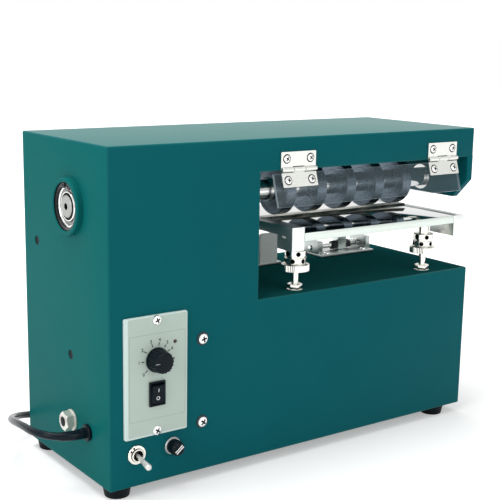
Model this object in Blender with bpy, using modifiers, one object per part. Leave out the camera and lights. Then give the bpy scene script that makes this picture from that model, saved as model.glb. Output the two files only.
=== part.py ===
"""Leather skiving machine: a C-shaped sheet-metal housing on rubber feet, a belt-driven arbor of feed
discs over a fixed blade, a polished table on two jack screws that tilts about two rear pivots, a hinged
clear guard, and a speed control. All lengths are in metres. X runs along the front from the left side,
Y runs to the back from the front face, and Z runs up from the floor."""

import math
from collections import namedtuple

import bmesh
import bpy
from mathutils import Euler, Matrix, Vector

# Housing
BODY_WIDTH = 0.432
BODY_DEPTH = 0.164
BODY_HEIGHT = 0.300
FOOT_HEIGHT = 0.010
SHEET = 0.0025
SHEET_EDGE = 0.0006
TOWER_WIDTH = 0.156
THROAT_HEIGHT = 0.118
BEAM_HEIGHT = 0.030
END_PLATE = 0.008
END_PLATE_DROP = 0.044
END_PLATE_STRAIGHT = 0.024
END_PLATE_CHAMFER = 0.019

# Gaps: between pieces that touch, between pieces that turn, and how far a cutter passes its piece
FIT = 0.0003
RUNNING = 0.0006
OVERRUN = 0.001

# Feet
FOOT_TOP_RADIUS = 0.013
FOOT_BOTTOM_RADIUS = 0.011
FOOT_HOLE_RADIUS = 0.004
FOOT_HOLE_DEPTH = 0.004
FOOT_INSET = 0.015
RIGHT_FOOT_INSET = 0.027

# Arbor, its bearings and its pulley
ARBOR_Y = 0.068
ARBOR_RADIUS = 0.010
RIGHT_JOURNAL_RADIUS = 0.006
SHAFT_END_INSET = 0.002
SHAFT_REACH = 0.0006
SHAFT_CHAMFER = 0.0008
CENTRE_HOLE_RADIUS = 0.0026
CENTRE_HOLE_DEPTH = 0.005
DISC_COUNT = 5
DISC_RADIUS = 0.0255
DISC_THICKNESS = 0.012
DISC_TOP_GAP = 0.0025
FIRST_DISC_INSET = 0.070
LAST_DISC_INSET = 0.0432
COLLAR_RING_RADIUS = 0.0122
COLLAR_RING_WIDTH = 0.0014
COLLAR_RING_INSET = 0.012
LEFT_BEARING_RADIUS = 0.021
LEFT_BEARING_WIDTH = 0.012
RIGHT_BEARING_RADIUS = 0.0135
RACE_WALL = 0.003
SHIELD_INSET = 0.001
SHIELD_THICKNESS = 0.0008
BOSS_RADIUS = 0.0255
BOSS_REACH = 0.006
BOSS_SHOULDER = 0.003
BOSS_SHOULDER_RADIUS = 0.017
BOSS_CHAMFER = 0.0008
BEARING_INSET = 0.0035
CIRCLIP_THICKNESS = 0.0014
CIRCLIP_WIDTH = 0.0026
CIRCLIP_GAP_DEGREES = 34
CIRCLIP_EAR_RADIUS = 0.0024
CIRCLIP_EAR_DEGREES = 14
CIRCLIP_EAR_STEPS = 3
CIRCLIP_HOLE_RADIUS = 0.0010

# Belt drive: the belt's plane is measured from the left side
BELT_X = 0.0845
BELT_WIDTH = 0.007
BELT_THICKNESS = 0.004
BELT_TAPER_SHARE = 0.6
PULLEY_WIDTH = 0.0108
PULLEY_LIP = 0.0012
PULLEY_FLARE = 0.0014
PULLEY_HUB_RADIUS = 0.014
PULLEY_HUB_LENGTH = 0.005
DRIVEN_GROOVE_RADIUS = 0.026
MOTOR_GROOVE_RADIUS = 0.018

# Gear motor, on a thick plate behind two screws in the front
MOUNT_X = 0.0905
MOUNT_THICKNESS = 0.008
MOUNT_BACK_GAP = 0.0312
MOUNT_SHELF_GAP = 0.0072
MOUNT_SCREW_PITCH = 0.078
GEARBOX_SIDE = 0.090
GEARBOX_LENGTH = 0.060
GEARBOX_EDGE = 0.006
GEARBOX_BOSS_RADIUS = 0.017
GEARBOX_BOSS_LENGTH = 0.007
GEARBOX_RISE_SHARE = 0.6684
SPINDLE_RADIUS = 0.0075
SPINDLE_OFFSET = 0.018
SPINDLE_SEAT = 0.020
SPINDLE_REACH = 0.001
MOTOR_RADIUS = 0.044
MOTOR_LENGTH = 0.112
MOTOR_COVER_LENGTH = 0.022
MOTOR_COVER_RADIUS = 0.041
MOTOR_STEP = 0.0015

# Table, its rails and its blade: heights hang from the discs
BLADE_GAP = 0.0015
BLADE_THICKNESS = 0.003
BLADE_DEPTH = 0.014
BLADE_LEAD = 0.007
BLADE_BEVEL = 0.0022
TABLE_THICKNESS = 0.008
TABLE_FRONT = 0.010
TABLE_BACK_INSET = 0.018
TABLE_EDGE = 0.0006
RAIL_GAP_LEFT = 0.030
RAIL_GAP_RIGHT = 0.0195
RAIL_WIDTH = 0.0145
RAIL_RISE = 0.006
RAIL_HEIGHT = 0.0095
RAIL_BLOCK_HEIGHT = 0.0225
RAIL_BLOCK_DEPTH = 0.0235
RIGHT_BLOCK_HEIGHT = 0.0215
RIGHT_BLOCK_DEPTH = 0.034
RAIL_SLOT_LENGTH = 0.006
RAIL_SLOT_HEIGHT = 0.0018
RAIL_SLOT_DEPTH = 0.003
RAIL_SLOT_INSET = 0.010

# Jack screws under the table
JACK_Y = 0.016
JACK_LEFT_INSET = 0.0103
JACK_RIGHT_INSET = 0.0174
JACK_SHANK_RADIUS = 0.0035
JACK_HEAD_WIDTH = 0.013
JACK_HEAD_HEIGHT = 0.0055
JACK_WHEEL_RADIUS = 0.0135
JACK_WHEEL_HEIGHT = 0.006
JACK_SHANK_SHARE = 0.55
JACK_WHEEL_TEETH = 16
JACK_WHEEL_TOOTH = 0.0006
JACK_COLLAR_RADIUS = 0.0105
JACK_COLLAR_HEIGHT = 0.0145
JACK_COLLAR_HOLE_RADIUS = 0.0022
JACK_COLLAR_HOLES = 4
JACK_HOLE_TURN = math.radians(52)
JACK_HEAD_TURN = math.radians(17)
JACK_SHANK_TURN = math.radians(5)
JACK_NECK_RADIUS = 0.006
JACK_TRAVEL_GAP = 0.0014
JACK_THREAD_DEPTH = 0.005
JACK_THREAD_GAP = 0.0008

# Rear pivots of the table, on the shelf
PIVOT_INSET = 0.028
PIVOT_HEIGHT = 0.0055
PIVOT_ROD_REACH = 0.001
BRACKET_SPARE_SHARE = 0.4575
BRACKET_DEPTH = 0.040
BRACKET_BASE = 0.0025
BRACKET_EAR = 0.0065
BRACKET_EAR_DEPTH = 0.028
BRACKET_EAR_HEIGHT = 0.014
BRACKET_EDGE = 0.0005
BRACKET_UNDER_ARM = 0.006
UPRIGHT_BELOW_TABLE = 0.0169
UPRIGHT_WIDTH = 0.0227
UPRIGHT_THICKNESS = 0.003
UPRIGHT_END_INSET = 0.0053
PIVOT_ROD_RADIUS = 0.0028
PIVOT_NUT_WIDTH = 0.009
PIVOT_NUT_THICKNESS = 0.006
SPRING_RUN = 0.0144
LUG_WIDTH = 0.012
LUG_DEPTH = 0.010
LUG_BELOW_ROD = 0.005
SPRING_WIRE_RADIUS = 0.0006
SPRING_TURNS = 4
SPRING_END_GAP = 0.0009
SPRING_POINTS = 8

# Guard and its two hinges, drawn closed and then swung out
GUARD_LEFT = 0.0136
GUARD_END_INSET = 0.0181
GUARD_TOP = 0.0028
GUARD_LENGTH = 0.031
GUARD_THICKNESS = 0.003
GUARD_REST_DEGREES = 17
HINGE_INSET = 0.0212
HINGE_END_INSET = 0.0193
HINGE_WIDTH = 0.0405
HINGE_LEAF = 0.0162
LEAF_THICKNESS = 0.0015
LEAF_EDGE = 0.0004
KNUCKLE_RADIUS = 0.0022
KNUCKLE_ABOVE_BEAM = 0.0008
CENTRE_KNUCKLE = 0.0135
PIN_RADIUS = 0.001
HINGE_SCREW_INSET = 0.0065
HINGE_SCREW_DROP = 0.0098

# Control panel
PANEL_LEFT = 0.0135
PANEL_WIDTH = 0.0634
PANEL_HEIGHT = 0.1088
PANEL_BOTTOM = 0.045
PANEL_THICKNESS = 0.0027
PANEL_EDGE = 0.0008
PANEL_SCREW_PITCH = 0.100
CONTROLLER_WIDTH = 0.054
CONTROLLER_HEIGHT = 0.090
CONTROLLER_DEPTH = 0.070
CONTROLLER_EDGE = 0.0015
CONTROLLER_RECESS = 0.012
KNOB_HEIGHT = 0.0690
KNOB_RADIUS = 0.0112
KNOB_TOP_RADIUS = 0.0094
KNOB_LENGTH = 0.0125
KNOB_EDGE = 0.0012
KNOB_RIBS = 16
KNOB_RIB = 0.0007
KNOB_STEM_RADIUS = 0.003
KNOB_STEM_LENGTH = 0.007
KNOB_POINTER_WIDTH = 0.0012
KNOB_POINTER_DEPTH = 0.0006
KNOB_STEM_BORE_DEPTH = 0.009
LED_LEG_LENGTH = 0.004
LED_RADIUS = 0.0015
LED_REACH = 0.0012
LED_X = 0.0188
LED_HEIGHT = 0.0826
ROCKER_HEIGHT = 0.0385
ROCKER_FRAME_WIDTH = 0.0160
ROCKER_FRAME_HEIGHT = 0.0224
ROCKER_FRAME_REACH = 0.0018
ROCKER_FRAME_LIP = 0.0016
ROCKER_SLEEVE_WALL = 0.0007
ROCKER_SLEEVE_DEPTH = 0.0062
ROCKER_HALF_HEIGHT = 0.0084
ROCKER_RISE = 0.0034
ROCKER_PIVOT_INSET = 0.0009
ROCKER_CENTRE_RISE = 0.0022
ROCKER_BACK = 0.0012
ROCKER_REST_DEGREES = 8

# Toggle switch and fuse, under the panel
TOGGLE_X = 0.0258
TOGGLE_HEIGHT = 0.0302
TOGGLE_THREAD_RADIUS = 0.006
TOGGLE_NUT_RADIUS = 0.0088
TOGGLE_NUT_THICKNESS = 0.0026
TOGGLE_MOUTH_RADIUS = 0.0046
TOGGLE_MOUTH_DEPTH = 0.005
TOGGLE_REACH = 0.0048
TOGGLE_BODY_WIDTH = 0.018
TOGGLE_BODY_HEIGHT = 0.024
TOGGLE_BODY_DEPTH = 0.026
TOGGLE_LEVER_LENGTH = 0.0225
TOGGLE_LEVER_RADIUS = 0.0017
TOGGLE_TIP_RADIUS = 0.0028
TOGGLE_REST_DEGREES = 13
FUSE_X = 0.063
FUSE_HEIGHT = 0.0305
FUSE_BARREL_RADIUS = 0.006
FUSE_BARREL_LENGTH = 0.036
FUSE_FLANGE_RADIUS = 0.0083
FUSE_FLANGE_THICKNESS = 0.0018
FUSE_CAP_RADIUS = 0.0068
FUSE_CAP_LENGTH = 0.0105
FUSE_CAP_EDGE = 0.0010
FUSE_SLOT_WIDTH = 0.0014
FUSE_SLOT_DEPTH = 0.0012
FUSE_STEM_RADIUS = 0.0035
FUSE_STEM_LENGTH = 0.010
TOGGLE_MOUTH_BOTTOM = 0.0026
TOGGLE_TIP_LENGTH = 0.008

# Left side: two tapped holes, a clamp bolt and the cord's bushing
SIDE_HOLE_RADIUS = 0.0044
SIDE_HOLE_UPPER_INSET = 0.0263
SIDE_HOLE_UPPER_HEIGHT = 0.2004
SIDE_HOLE_LOWER_Y = 0.0718
SIDE_HOLE_LOWER_HEIGHT = 0.1067
SIDE_BOLT_Y = 0.0697
SIDE_BOLT_HEIGHT = 0.0457
SIDE_BOLT_WIDTH = 0.016
SIDE_BOLT_HEAD = 0.008
SIDE_BOLT_CHAMFER = 0.0008
SIDE_BOLT_WASHER_RADIUS = 0.0098
SIDE_BOLT_WASHER = 0.0015
SIDE_BOLT_SHANK_RADIUS = 0.004
SIDE_BOLT_SHANK_LENGTH = 0.014
BUSHING_Y = 0.0391
BUSHING_HEIGHT = 0.0433
BUSHING_FLANGE_RADIUS = 0.0076
BUSHING_FLANGE = 0.0030
BUSHING_NOSE_RADIUS = 0.0046
BUSHING_NOSE = 0.0050
BUSHING_BARREL_RADIUS = 0.0060
BUSHING_BARREL_LENGTH = 0.022

# Screws: the head's radius and height, then the shank's
Screw = namedtuple("Screw", "head_radius head_height shank_radius shank_length")
MOUNT_HEAD_RADIUS = 0.0050
MOUNT_HEAD_HEIGHT = 0.0030
MOUNT_SHANK_RADIUS = 0.0024
MOUNT_SHANK_LENGTH = 0.016
MOUNT_SCREW = Screw(MOUNT_HEAD_RADIUS, MOUNT_HEAD_HEIGHT, MOUNT_SHANK_RADIUS, MOUNT_SHANK_LENGTH)
PANEL_HEAD_RADIUS = 0.0044
PANEL_HEAD_HEIGHT = 0.0024
PANEL_SHANK_RADIUS = 0.0018
PANEL_SHANK_LENGTH = 0.009
PANEL_SCREW = Screw(PANEL_HEAD_RADIUS, PANEL_HEAD_HEIGHT, PANEL_SHANK_RADIUS, PANEL_SHANK_LENGTH)
COVER_HEAD_RADIUS = 0.0038
COVER_HEAD_HEIGHT = 0.0022
COVER_SHANK_RADIUS = 0.0018
COVER_SHANK_LENGTH = 0.0015
COVER_SCREW = Screw(COVER_HEAD_RADIUS, COVER_HEAD_HEIGHT, COVER_SHANK_RADIUS, COVER_SHANK_LENGTH)
HINGE_HEAD_RADIUS = 0.0036
HINGE_HEAD_HEIGHT = 0.0018
HINGE_SHANK_RADIUS = 0.0014
HINGE_SHANK_LENGTH = 0.0060
HINGE_SCREW = Screw(HINGE_HEAD_RADIUS, HINGE_HEAD_HEIGHT, HINGE_SHANK_RADIUS, HINGE_SHANK_LENGTH)
PAN_SHOULDER_SHARE = 0.62
PAN_CROWN_SHARE = 0.88
PAN_RIM_SHARE = 0.42

# Rear cover: screws and cooling slots
COVER_SCREW_INSET = 0.008
VENT_COUNT = 7
VENT_LENGTH = 0.040
VENT_HEIGHT = 0.004
VENT_PITCH = 0.010
VENT_X = 0.200
VENT_BELOW_MOTOR = 0.0036

# Mains cord, its coil behind the machine and its plug
CORD_RADIUS = 0.0035
COIL_TURNS_PER_LAYER = 3
COIL_LAYERS = 2
COIL_INNER_RADIUS = 0.0275
COIL_STEP = 0.00765
COIL_LAYER_RISE = 0.00745
COIL_POINTS = 16
COIL_X = 0.200
COIL_Y = 0.236
COIL_TAIL = 0.050
COIL_POINTS_PER_RISE = 8
PLUG_BODY_LENGTH = 0.036
PLUG_BODY_WIDTH = 0.024
PLUG_BODY_HEIGHT = 0.020
PLUG_EDGE = 0.004
PLUG_PIN_RADIUS = 0.0024
PLUG_PIN_LENGTH = 0.019
PLUG_PIN_SPACING = 0.019
PLUG_RELIEF_RADIUS = 0.0048
PLUG_RELIEF_LENGTH = 0.016

# Facets: sides of a turned piece, from the finest to the coarsest
FINE = 28
ROUND = 20
SMALL = 12
TINY = 8
MERGE = 0.00002

# Heights and places that follow from the sizes above
TOP_Z = FOOT_HEIGHT + BODY_HEIGHT
BEAM_Z = TOP_Z - BEAM_HEIGHT
SHELF_Z = BEAM_Z - THROAT_HEIGHT
END_X = BODY_WIDTH - END_PLATE
ARBOR_Z = BEAM_Z - DISC_TOP_GAP - DISC_RADIUS
FIRST_DISC_X = TOWER_WIDTH + FIRST_DISC_INSET
DISC_PITCH = (END_X - LAST_DISC_INSET - FIRST_DISC_X) / (DISC_COUNT - 1)
BASE_ROOM = SHELF_Z - SHEET - FOOT_HEIGHT - SHEET - GEARBOX_SIDE
GEARBOX_Z = FOOT_HEIGHT + SHEET + GEARBOX_SIDE / 2 + BASE_ROOM * GEARBOX_RISE_SHARE
SPINDLE_Z = GEARBOX_Z + SPINDLE_OFFSET
BLADE_TOP_Z = ARBOR_Z - DISC_RADIUS - BLADE_GAP
TABLE_Z = BLADE_TOP_Z - BLADE_THICKNESS - FIT
TABLE_UNDER_Z = TABLE_Z - TABLE_THICKNESS
LEFT_RAIL_X = TOWER_WIDTH + RAIL_GAP_LEFT
RIGHT_RAIL_X = BODY_WIDTH - RAIL_GAP_RIGHT - RAIL_WIDTH
TABLE_LEFT = LEFT_RAIL_X + RAIL_WIDTH + FIT
TABLE_RIGHT = RIGHT_RAIL_X - FIT
TABLE_BACK = BODY_DEPTH - TABLE_BACK_INSET
JACK_TOP = TABLE_UNDER_Z - SHELF_Z - JACK_TRAVEL_GAP
JACK_ROOM = JACK_TOP - FIT - JACK_HEAD_HEIGHT - JACK_WHEEL_HEIGHT - JACK_COLLAR_HEIGHT
JACK_WHEEL_RISE = FIT + JACK_HEAD_HEIGHT + JACK_ROOM * JACK_SHANK_SHARE
BRACKET_Z = SHELF_Z + FIT
BRACKET_END = BRACKET_EDGE + BRACKET_EAR
NUT_REACH = FIT * 2 + PIVOT_NUT_THICKNESS
LUG_INSET = BRACKET_END + SPRING_RUN + NUT_REACH
BRACKET_LEAST = LUG_INSET + LUG_WIDTH + NUT_REACH + BRACKET_END
BRACKET_HALF_SPAN = (TABLE_RIGHT - TABLE_LEFT) / 2 + FIT + BRACKET_UNDER_ARM
BRACKET_LENGTH = BRACKET_LEAST + (BRACKET_HALF_SPAN - BRACKET_LEAST) * BRACKET_SPARE_SHARE
PIVOT_Y = BODY_DEPTH - PIVOT_INSET
PIVOT_Z = BRACKET_Z + BRACKET_BASE + PIVOT_HEIGHT
HINGE_Y = -FIT - LEAF_EDGE - KNUCKLE_RADIUS
HINGE_Z = BEAM_Z + KNUCKLE_ABOVE_BEAM
PANEL_X = PANEL_LEFT + PANEL_WIDTH / 2
PANEL_Z = FOOT_HEIGHT + PANEL_BOTTOM + PANEL_HEIGHT / 2
PANEL_FRONT = -FIT - PANEL_THICKNESS
PANEL_LOW_Z = PANEL_Z - PANEL_HEIGHT / 2
KNOB_Z = PANEL_LOW_Z + KNOB_HEIGHT
ROCKER_Z = PANEL_LOW_Z + ROCKER_HEIGHT
ROCKER_FRONT = PANEL_FRONT - FIT - ROCKER_FRAME_REACH
ROCKER_PIVOT_Y = ROCKER_FRONT + ROCKER_PIVOT_INSET
TOGGLE_Z = FOOT_HEIGHT + TOGGLE_HEIGHT
TOGGLE_PIVOT_Y = -(TOGGLE_REACH - TOGGLE_MOUTH_DEPTH + TOGGLE_LEVER_RADIUS + FIT + FIT)
FUSE_Z = FOOT_HEIGHT + FUSE_HEIGHT
BUSHING_Z = FOOT_HEIGHT + BUSHING_HEIGHT
CORD_EXIT_X = -(FIT + BUSHING_FLANGE + BUSHING_NOSE)
COIL_OUTER_RADIUS = COIL_INNER_RADIUS + COIL_TURNS_PER_LAYER * COIL_STEP
CORD_REST_Z = CORD_RADIUS + FIT
COIL_FRONT_Y = COIL_Y - COIL_OUTER_RADIUS

# How far the machine reaches past its housing, which sets the origin under the middle of the whole
LEFT_REACH = FIT + SIDE_BOLT_WASHER + SIDE_BOLT_HEAD
FRONT_REACH = TOGGLE_LEVER_LENGTH * math.cos(math.radians(TOGGLE_REST_DEGREES)) - TOGGLE_PIVOT_Y
BACK_REACH = COVER_SCREW.head_height - FIT
ORIGIN = (
    (BODY_WIDTH + SHAFT_REACH - LEFT_REACH) / 2,
    (BODY_DEPTH + BACK_REACH - FRONT_REACH) / 2,
    0,
)

# The free cord's route from the bushing to the coil: points chosen by hand, in the machine's own places
CORD_ROUTE = (
    (CORD_EXIT_X - FIT, BUSHING_Y, BUSHING_Z),
    (-0.0150, 0.0391, 0.0533),
    (-0.0245, 0.0412, 0.0537),
    (-0.0330, 0.0470, 0.0543),
    (-0.0390, 0.0567, 0.0545),
    (-0.0412, 0.0690, 0.0538),
    (-0.0402, 0.0870, 0.0518),
    (-0.0375, 0.1060, 0.0482),
    (-0.0330, 0.1270, 0.0430),
    (-0.0255, 0.1490, 0.0368),
    (-0.0135, 0.1695, 0.0300),
    (0.0035, 0.1865, 0.0232),
    (0.0260, 0.1972, 0.0165),
    (0.0520, 0.2015, 0.0100),
    (0.0800, 0.1990, 0.0052),
    (0.1080, 0.1930, 0.0038),
    (0.1400, 0.1880, 0.0038),
    (0.1700, 0.1859, 0.0038),
    (0.1860, 0.1855, 0.0038),
    (COIL_X - CORD_RADIUS - CORD_RADIUS - FIT, COIL_FRONT_Y, CORD_REST_Z),
)
CORD_POINT_SPACING = 0.015

# Colour, roughness and metallic value of each finish
FINISHES = {
    "teal_paint": ((0.010, 0.110, 0.125), 0.35, 0.0),
    "polished_steel": ((0.78, 0.77, 0.74), 0.12, 1.0),
    "brushed_steel": ((0.62, 0.61, 0.58), 0.30, 1.0),
    "zinc_steel": ((0.55, 0.55, 0.54), 0.35, 1.0),
    "dark_steel": ((0.020, 0.024, 0.030), 0.30, 0.6),
    "blade_steel": ((0.24, 0.25, 0.22), 0.35, 0.9),
    "cast_alloy": ((0.42, 0.43, 0.43), 0.45, 0.9),
    "nickel": ((0.62, 0.56, 0.45), 0.25, 1.0),
    "black_rubber": ((0.012, 0.013, 0.014), 0.70, 0.0),
    "black_plastic": ((0.010, 0.012, 0.018), 0.40, 0.0),
    "panel_plastic": ((0.560, 0.620, 0.580), 0.45, 0.0),
    "clear_plastic": ((0.30, 0.36, 0.42), 0.10, 0.0),
    "led_lens": ((0.05, 0.01, 0.01), 0.20, 0.0),
}

Frame = namedtuple("Frame", "empty origin")
FACING_FRONT = (math.radians(90), 0, 0)
FACING_BACK = (math.radians(-90), 0, 0)
FACING_LEFT = (0, math.radians(-90), 0)
FACING_RIGHT = (0, math.radians(90), 0)
SIDE_ON = (math.radians(90), 0, math.radians(90))


def clear_scene():
    for old in list(bpy.data.objects):
        bpy.data.objects.remove(old, do_unlink=True)


def new_collection(name):
    made = bpy.data.collections.new(name)
    bpy.context.scene.collection.children.link(made)
    return made


def make_finishes():
    made = {}
    for name, (colour, roughness, metallic) in FINISHES.items():
        finish = bpy.data.materials.new(name)
        finish.use_nodes = True
        finish.diffuse_color = (*colour, 1)
        shader = finish.node_tree.nodes["Principled BSDF"]
        shader.inputs["Base Color"].default_value = (*colour, 1)
        shader.inputs["Roughness"].default_value = roughness
        shader.inputs["Metallic"].default_value = metallic
        made[name] = finish
    return made


clear_scene()
PARTS = new_collection("leather_skiving_machine")
CUTTERS = new_collection("cutters")
FINISH = make_finishes()


def new_frame(name, origin, parent=None, turn=(0, 0, 0)):
    """An empty on a joint's axis. Pieces in it are placed by the machine's own coordinates."""
    empty = bpy.data.objects.new(name, None)
    PARTS.objects.link(empty)
    empty.rotation_euler = turn
    empty.location = Vector(origin)
    if parent:
        empty.parent = parent.empty
        empty.location = Vector(origin) - Vector(parent.origin)
    return Frame(empty, origin)


def piece(name, mesh, finish, frame, at, turn=(0, 0, 0), edge=0):
    """Places a mesh as a named sub-part and rounds its sharp edges where asked."""
    mesh.materials.clear()
    mesh.materials.append(FINISH[finish])
    mesh.shade_smooth()
    mesh.set_sharp_from_angle(angle=math.radians(30))
    made = bpy.data.objects.new(name, mesh)
    PARTS.objects.link(made)
    made.parent = frame.empty
    made.location = Vector(at) - Vector(frame.origin)
    made.rotation_euler = turn
    if edge:
        rounding = made.modifiers.new("rounded_edges", "BEVEL")
        rounding.width = edge
        rounding.segments = 1
        rounding.limit_method = "ANGLE"
    return made


def boolean(target, mesh, frame, at, turn=(0, 0, 0), operation="DIFFERENCE"):
    """Cuts a piece with a mesh, or joins the mesh to it."""
    tool = bpy.data.objects.new(f"{target.name}_{operation.lower()}", mesh)
    CUTTERS.objects.link(tool)
    tool.parent = frame.empty
    tool.location = Vector(at) - Vector(frame.origin)
    tool.rotation_euler = turn
    tool.hide_render = True
    tool.display_type = "WIRE"
    step = target.modifiers.new(tool.name, "BOOLEAN")
    step.operation = operation
    step.object = tool


def mesh_of(build):
    """A mesh from a function that fills a bmesh."""
    bm = bmesh.new()
    build(bm)
    mesh = bpy.data.meshes.new("piece")
    bm.to_mesh(mesh)
    bm.free()
    return mesh


def evaluated_mesh(source):
    """The mesh of an object with its modifiers or curve settings applied; the object is removed."""
    bpy.context.scene.collection.objects.link(source)
    graph = bpy.context.evaluated_depsgraph_get()
    mesh = bpy.data.meshes.new_from_object(source.evaluated_get(graph))
    bpy.data.objects.remove(source, do_unlink=True)
    bm = bmesh.new()
    bm.from_mesh(mesh)
    bmesh.ops.remove_doubles(bm, verts=bm.verts, dist=MERGE)
    bm.to_mesh(mesh)
    bm.free()
    return mesh


def block(size):
    return mesh_of(lambda bm: bmesh.ops.create_cube(bm, size=1, matrix=Matrix.Diagonal((*size, 1))))


def spans(low, high):
    """The size and middle of a box from its two corners."""
    size = tuple(top - bottom for bottom, top in zip(low, high))
    middle = tuple((top + bottom) / 2 for bottom, top in zip(low, high))
    return size, middle


def box_piece(name, low, high, finish, frame, edge=0):
    size, middle = spans(low, high)
    return piece(name, block(size), finish, frame, middle, edge=edge)


def cut_box(target, low, high, frame):
    size, middle = spans(low, high)
    boolean(target, block(size), frame, middle)


def rod(radius, length, sides=ROUND, places=((0, 0, 0),)):
    """Rods along Z, one for each place."""
    def build(bm):
        for place in places:
            bmesh.ops.create_cone(
                bm, cap_ends=True, segments=sides, radius1=radius, radius2=radius,
                depth=length, matrix=Matrix.Translation(place),
            )
    return mesh_of(build)


def turned(profile, sides=ROUND, closed=False):
    """A profile of radius and height, from the top down its outer side, turned about Z."""
    mesh = bpy.data.meshes.new("profile")
    count = len(profile)
    edges = [(i, i + 1) for i in range(count - 1)]
    if closed:
        edges.append((count - 1, 0))
    mesh.from_pydata([(radius, 0, height) for radius, height in profile], edges, [])
    source = bpy.data.objects.new("profile", mesh)
    screw = source.modifiers.new("turned", "SCREW")
    screw.steps = sides
    screw.render_steps = sides
    screw.use_merge_vertices = True
    screw.merge_threshold = MERGE
    return evaluated_mesh(source)


def ring(outer, inner, low, high, edge=0, sides=ROUND):
    """A turned ring with a chamfer round its outer corners."""
    if edge:
        outside = [(outer - edge, high), (outer, high - edge), (outer, low + edge), (outer - edge, low)]
    else:
        outside = [(outer, high), (outer, low)]
    return turned([*outside, (inner, low), (inner, high)], sides, closed=True)


def copies(mesh, places, turn=(0, 0, 0)):
    """One mesh of separate copies, each turned and then placed."""
    rotation = Euler(turn).to_matrix().to_4x4()

    def build(bm):
        for place in places:
            known = set(bm.verts)
            bm.from_mesh(mesh)
            fresh = [vert for vert in bm.verts if vert not in known]
            bmesh.ops.transform(bm, verts=fresh, matrix=Matrix.Translation(place) @ rotation)
    return mesh_of(build)


def flat(outline, thickness, holes=()):
    """A flat outline in X and Y with holes, thickened about its own plane."""
    curve = bpy.data.curves.new("outline", "CURVE")
    curve.dimensions = "2D"
    curve.fill_mode = "BOTH"
    curve.extrude = thickness / 2
    for loop in (outline, *holes):
        spline = curve.splines.new("POLY")
        spline.points.add(len(loop) - 1)
        for point, (across, along) in zip(spline.points, loop):
            point.co = (across, along, 0, 1)
        spline.use_cyclic_u = True
    return evaluated_mesh(bpy.data.objects.new("outline", curve))


def arc(centre, radius, start, stop, steps):
    """Points on an arc, from one angle to another in degrees."""
    points = []
    for step in range(steps + 1):
        angle = math.radians(start + (stop - start) * step / steps)
        points.append((centre[0] + radius * math.cos(angle), centre[1] + radius * math.sin(angle)))
    return points


def circle(centre, radius, sides=TINY):
    """An outline whose flats, not corners, lie at the radius, so that a hole keeps its full size."""
    return arc(centre, radius / math.cos(math.pi / sides), 0, 360, sides)[:-1]


def rectangle(low, high):
    return [low, (high[0], low[1]), high, (low[0], high[1])]


def smooth_points(route, spacing):
    """Points along a smooth curve that passes through the route's own points."""
    route = [Vector(point) for point in route]
    ends = [route[0] * 2 - route[1], *route, route[-1] * 2 - route[-2]]
    points = [route[0]]
    for before, here, there, after in zip(ends, ends[1:], ends[2:], ends[3:]):
        steps = max(1, round((there - here).length / spacing))
        for step in range(1, steps + 1):
            t = step / steps
            bend = (before * -1 + here * 3 - there * 3 + after) * t ** 3
            lean = (before * 2 - here * 5 + there * 4 - after) * t ** 2
            points.append((here * 2 + (there - before) * t + lean + bend) / 2)
    return points


def tube(points, radius, resolution):
    curve = bpy.data.curves.new("tube", "CURVE")
    curve.dimensions = "3D"
    curve.bevel_depth = radius
    curve.bevel_resolution = resolution
    curve.use_fill_caps = True
    spline = curve.splines.new("POLY")
    spline.points.add(len(points) - 1)
    for point, place in zip(spline.points, points):
        point.co = (*place, 1)
    return evaluated_mesh(bpy.data.objects.new("tube", curve))


def screw_profile(screw):
    """A pan head that stands on its seat at height zero, with its shank below."""
    shoulder = screw.head_radius * PAN_SHOULDER_SHARE
    return [
        (0, screw.head_height),
        (shoulder, screw.head_height * PAN_CROWN_SHARE),
        (screw.head_radius, screw.head_height * PAN_RIM_SHARE),
        (screw.head_radius, 0),
        (screw.shank_radius, 0),
        (screw.shank_radius, -screw.shank_length),
        (0, -screw.shank_length),
    ]


def add_screws(target, screw, places, turn, frame=None):
    """Joins pan-head screws to the piece that they hold."""
    shape = copies(turned(screw_profile(screw), TINY), places, turn)
    boolean(target, shape, frame or MACHINE, (0, 0, 0), operation="UNION")


MACHINE = new_frame("machine", (0, 0, 0))
MACHINE.empty.location = Vector(ORIGIN) * -1


def housing_outline():
    """The C of the front and of the rear cover, open at the throat."""
    left = SHEET + FIT
    wall = TOWER_WIDTH - SHEET - FIT
    shelf = SHELF_Z - SHEET - FIT
    top = TOP_Z - SHEET - FIT
    return [
        (left, FOOT_HEIGHT), (BODY_WIDTH, FOOT_HEIGHT), (BODY_WIDTH, shelf), (wall, shelf),
        (wall, BEAM_Z), (END_X - FIT, BEAM_Z), (END_X - FIT, top), (left, top),
    ]


def mount_screw_places():
    x = MOUNT_X + MOUNT_THICKNESS / 2
    half = MOUNT_SCREW_PITCH / 2
    return [(x, -FIT, GEARBOX_Z + half), (x, -FIT, GEARBOX_Z - half)]


def panel_screw_places():
    half = PANEL_SCREW_PITCH / 2
    return [(PANEL_X, PANEL_FRONT + FIT, PANEL_Z + half), (PANEL_X, PANEL_FRONT + FIT, PANEL_Z - half)]


def hinge_lefts():
    return (TOWER_WIDTH + HINGE_INSET, END_X - HINGE_END_INSET - HINGE_WIDTH)


def hinge_screw_places(left, height):
    inset = HINGE_SCREW_INSET
    return [(x, -LEAF_THICKNESS, height) for x in (left + inset, left + HINGE_WIDTH - inset)]


def cover_screw_places():
    inset = COVER_SCREW_INSET
    x_right = BODY_WIDTH - inset
    low = FOOT_HEIGHT + inset
    high = TOP_Z - SHEET - FIT - inset
    shelf = SHELF_Z - SHEET - FIT - inset
    middle = (inset + x_right) / 2
    spots = [
        (inset + SHEET, low), (middle, low), (x_right, low), (x_right, shelf),
        (inset + SHEET, high), (middle, high), (END_X - inset, high),
    ]
    return [(x, BODY_DEPTH - FIT, z) for x, z in spots]


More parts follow.
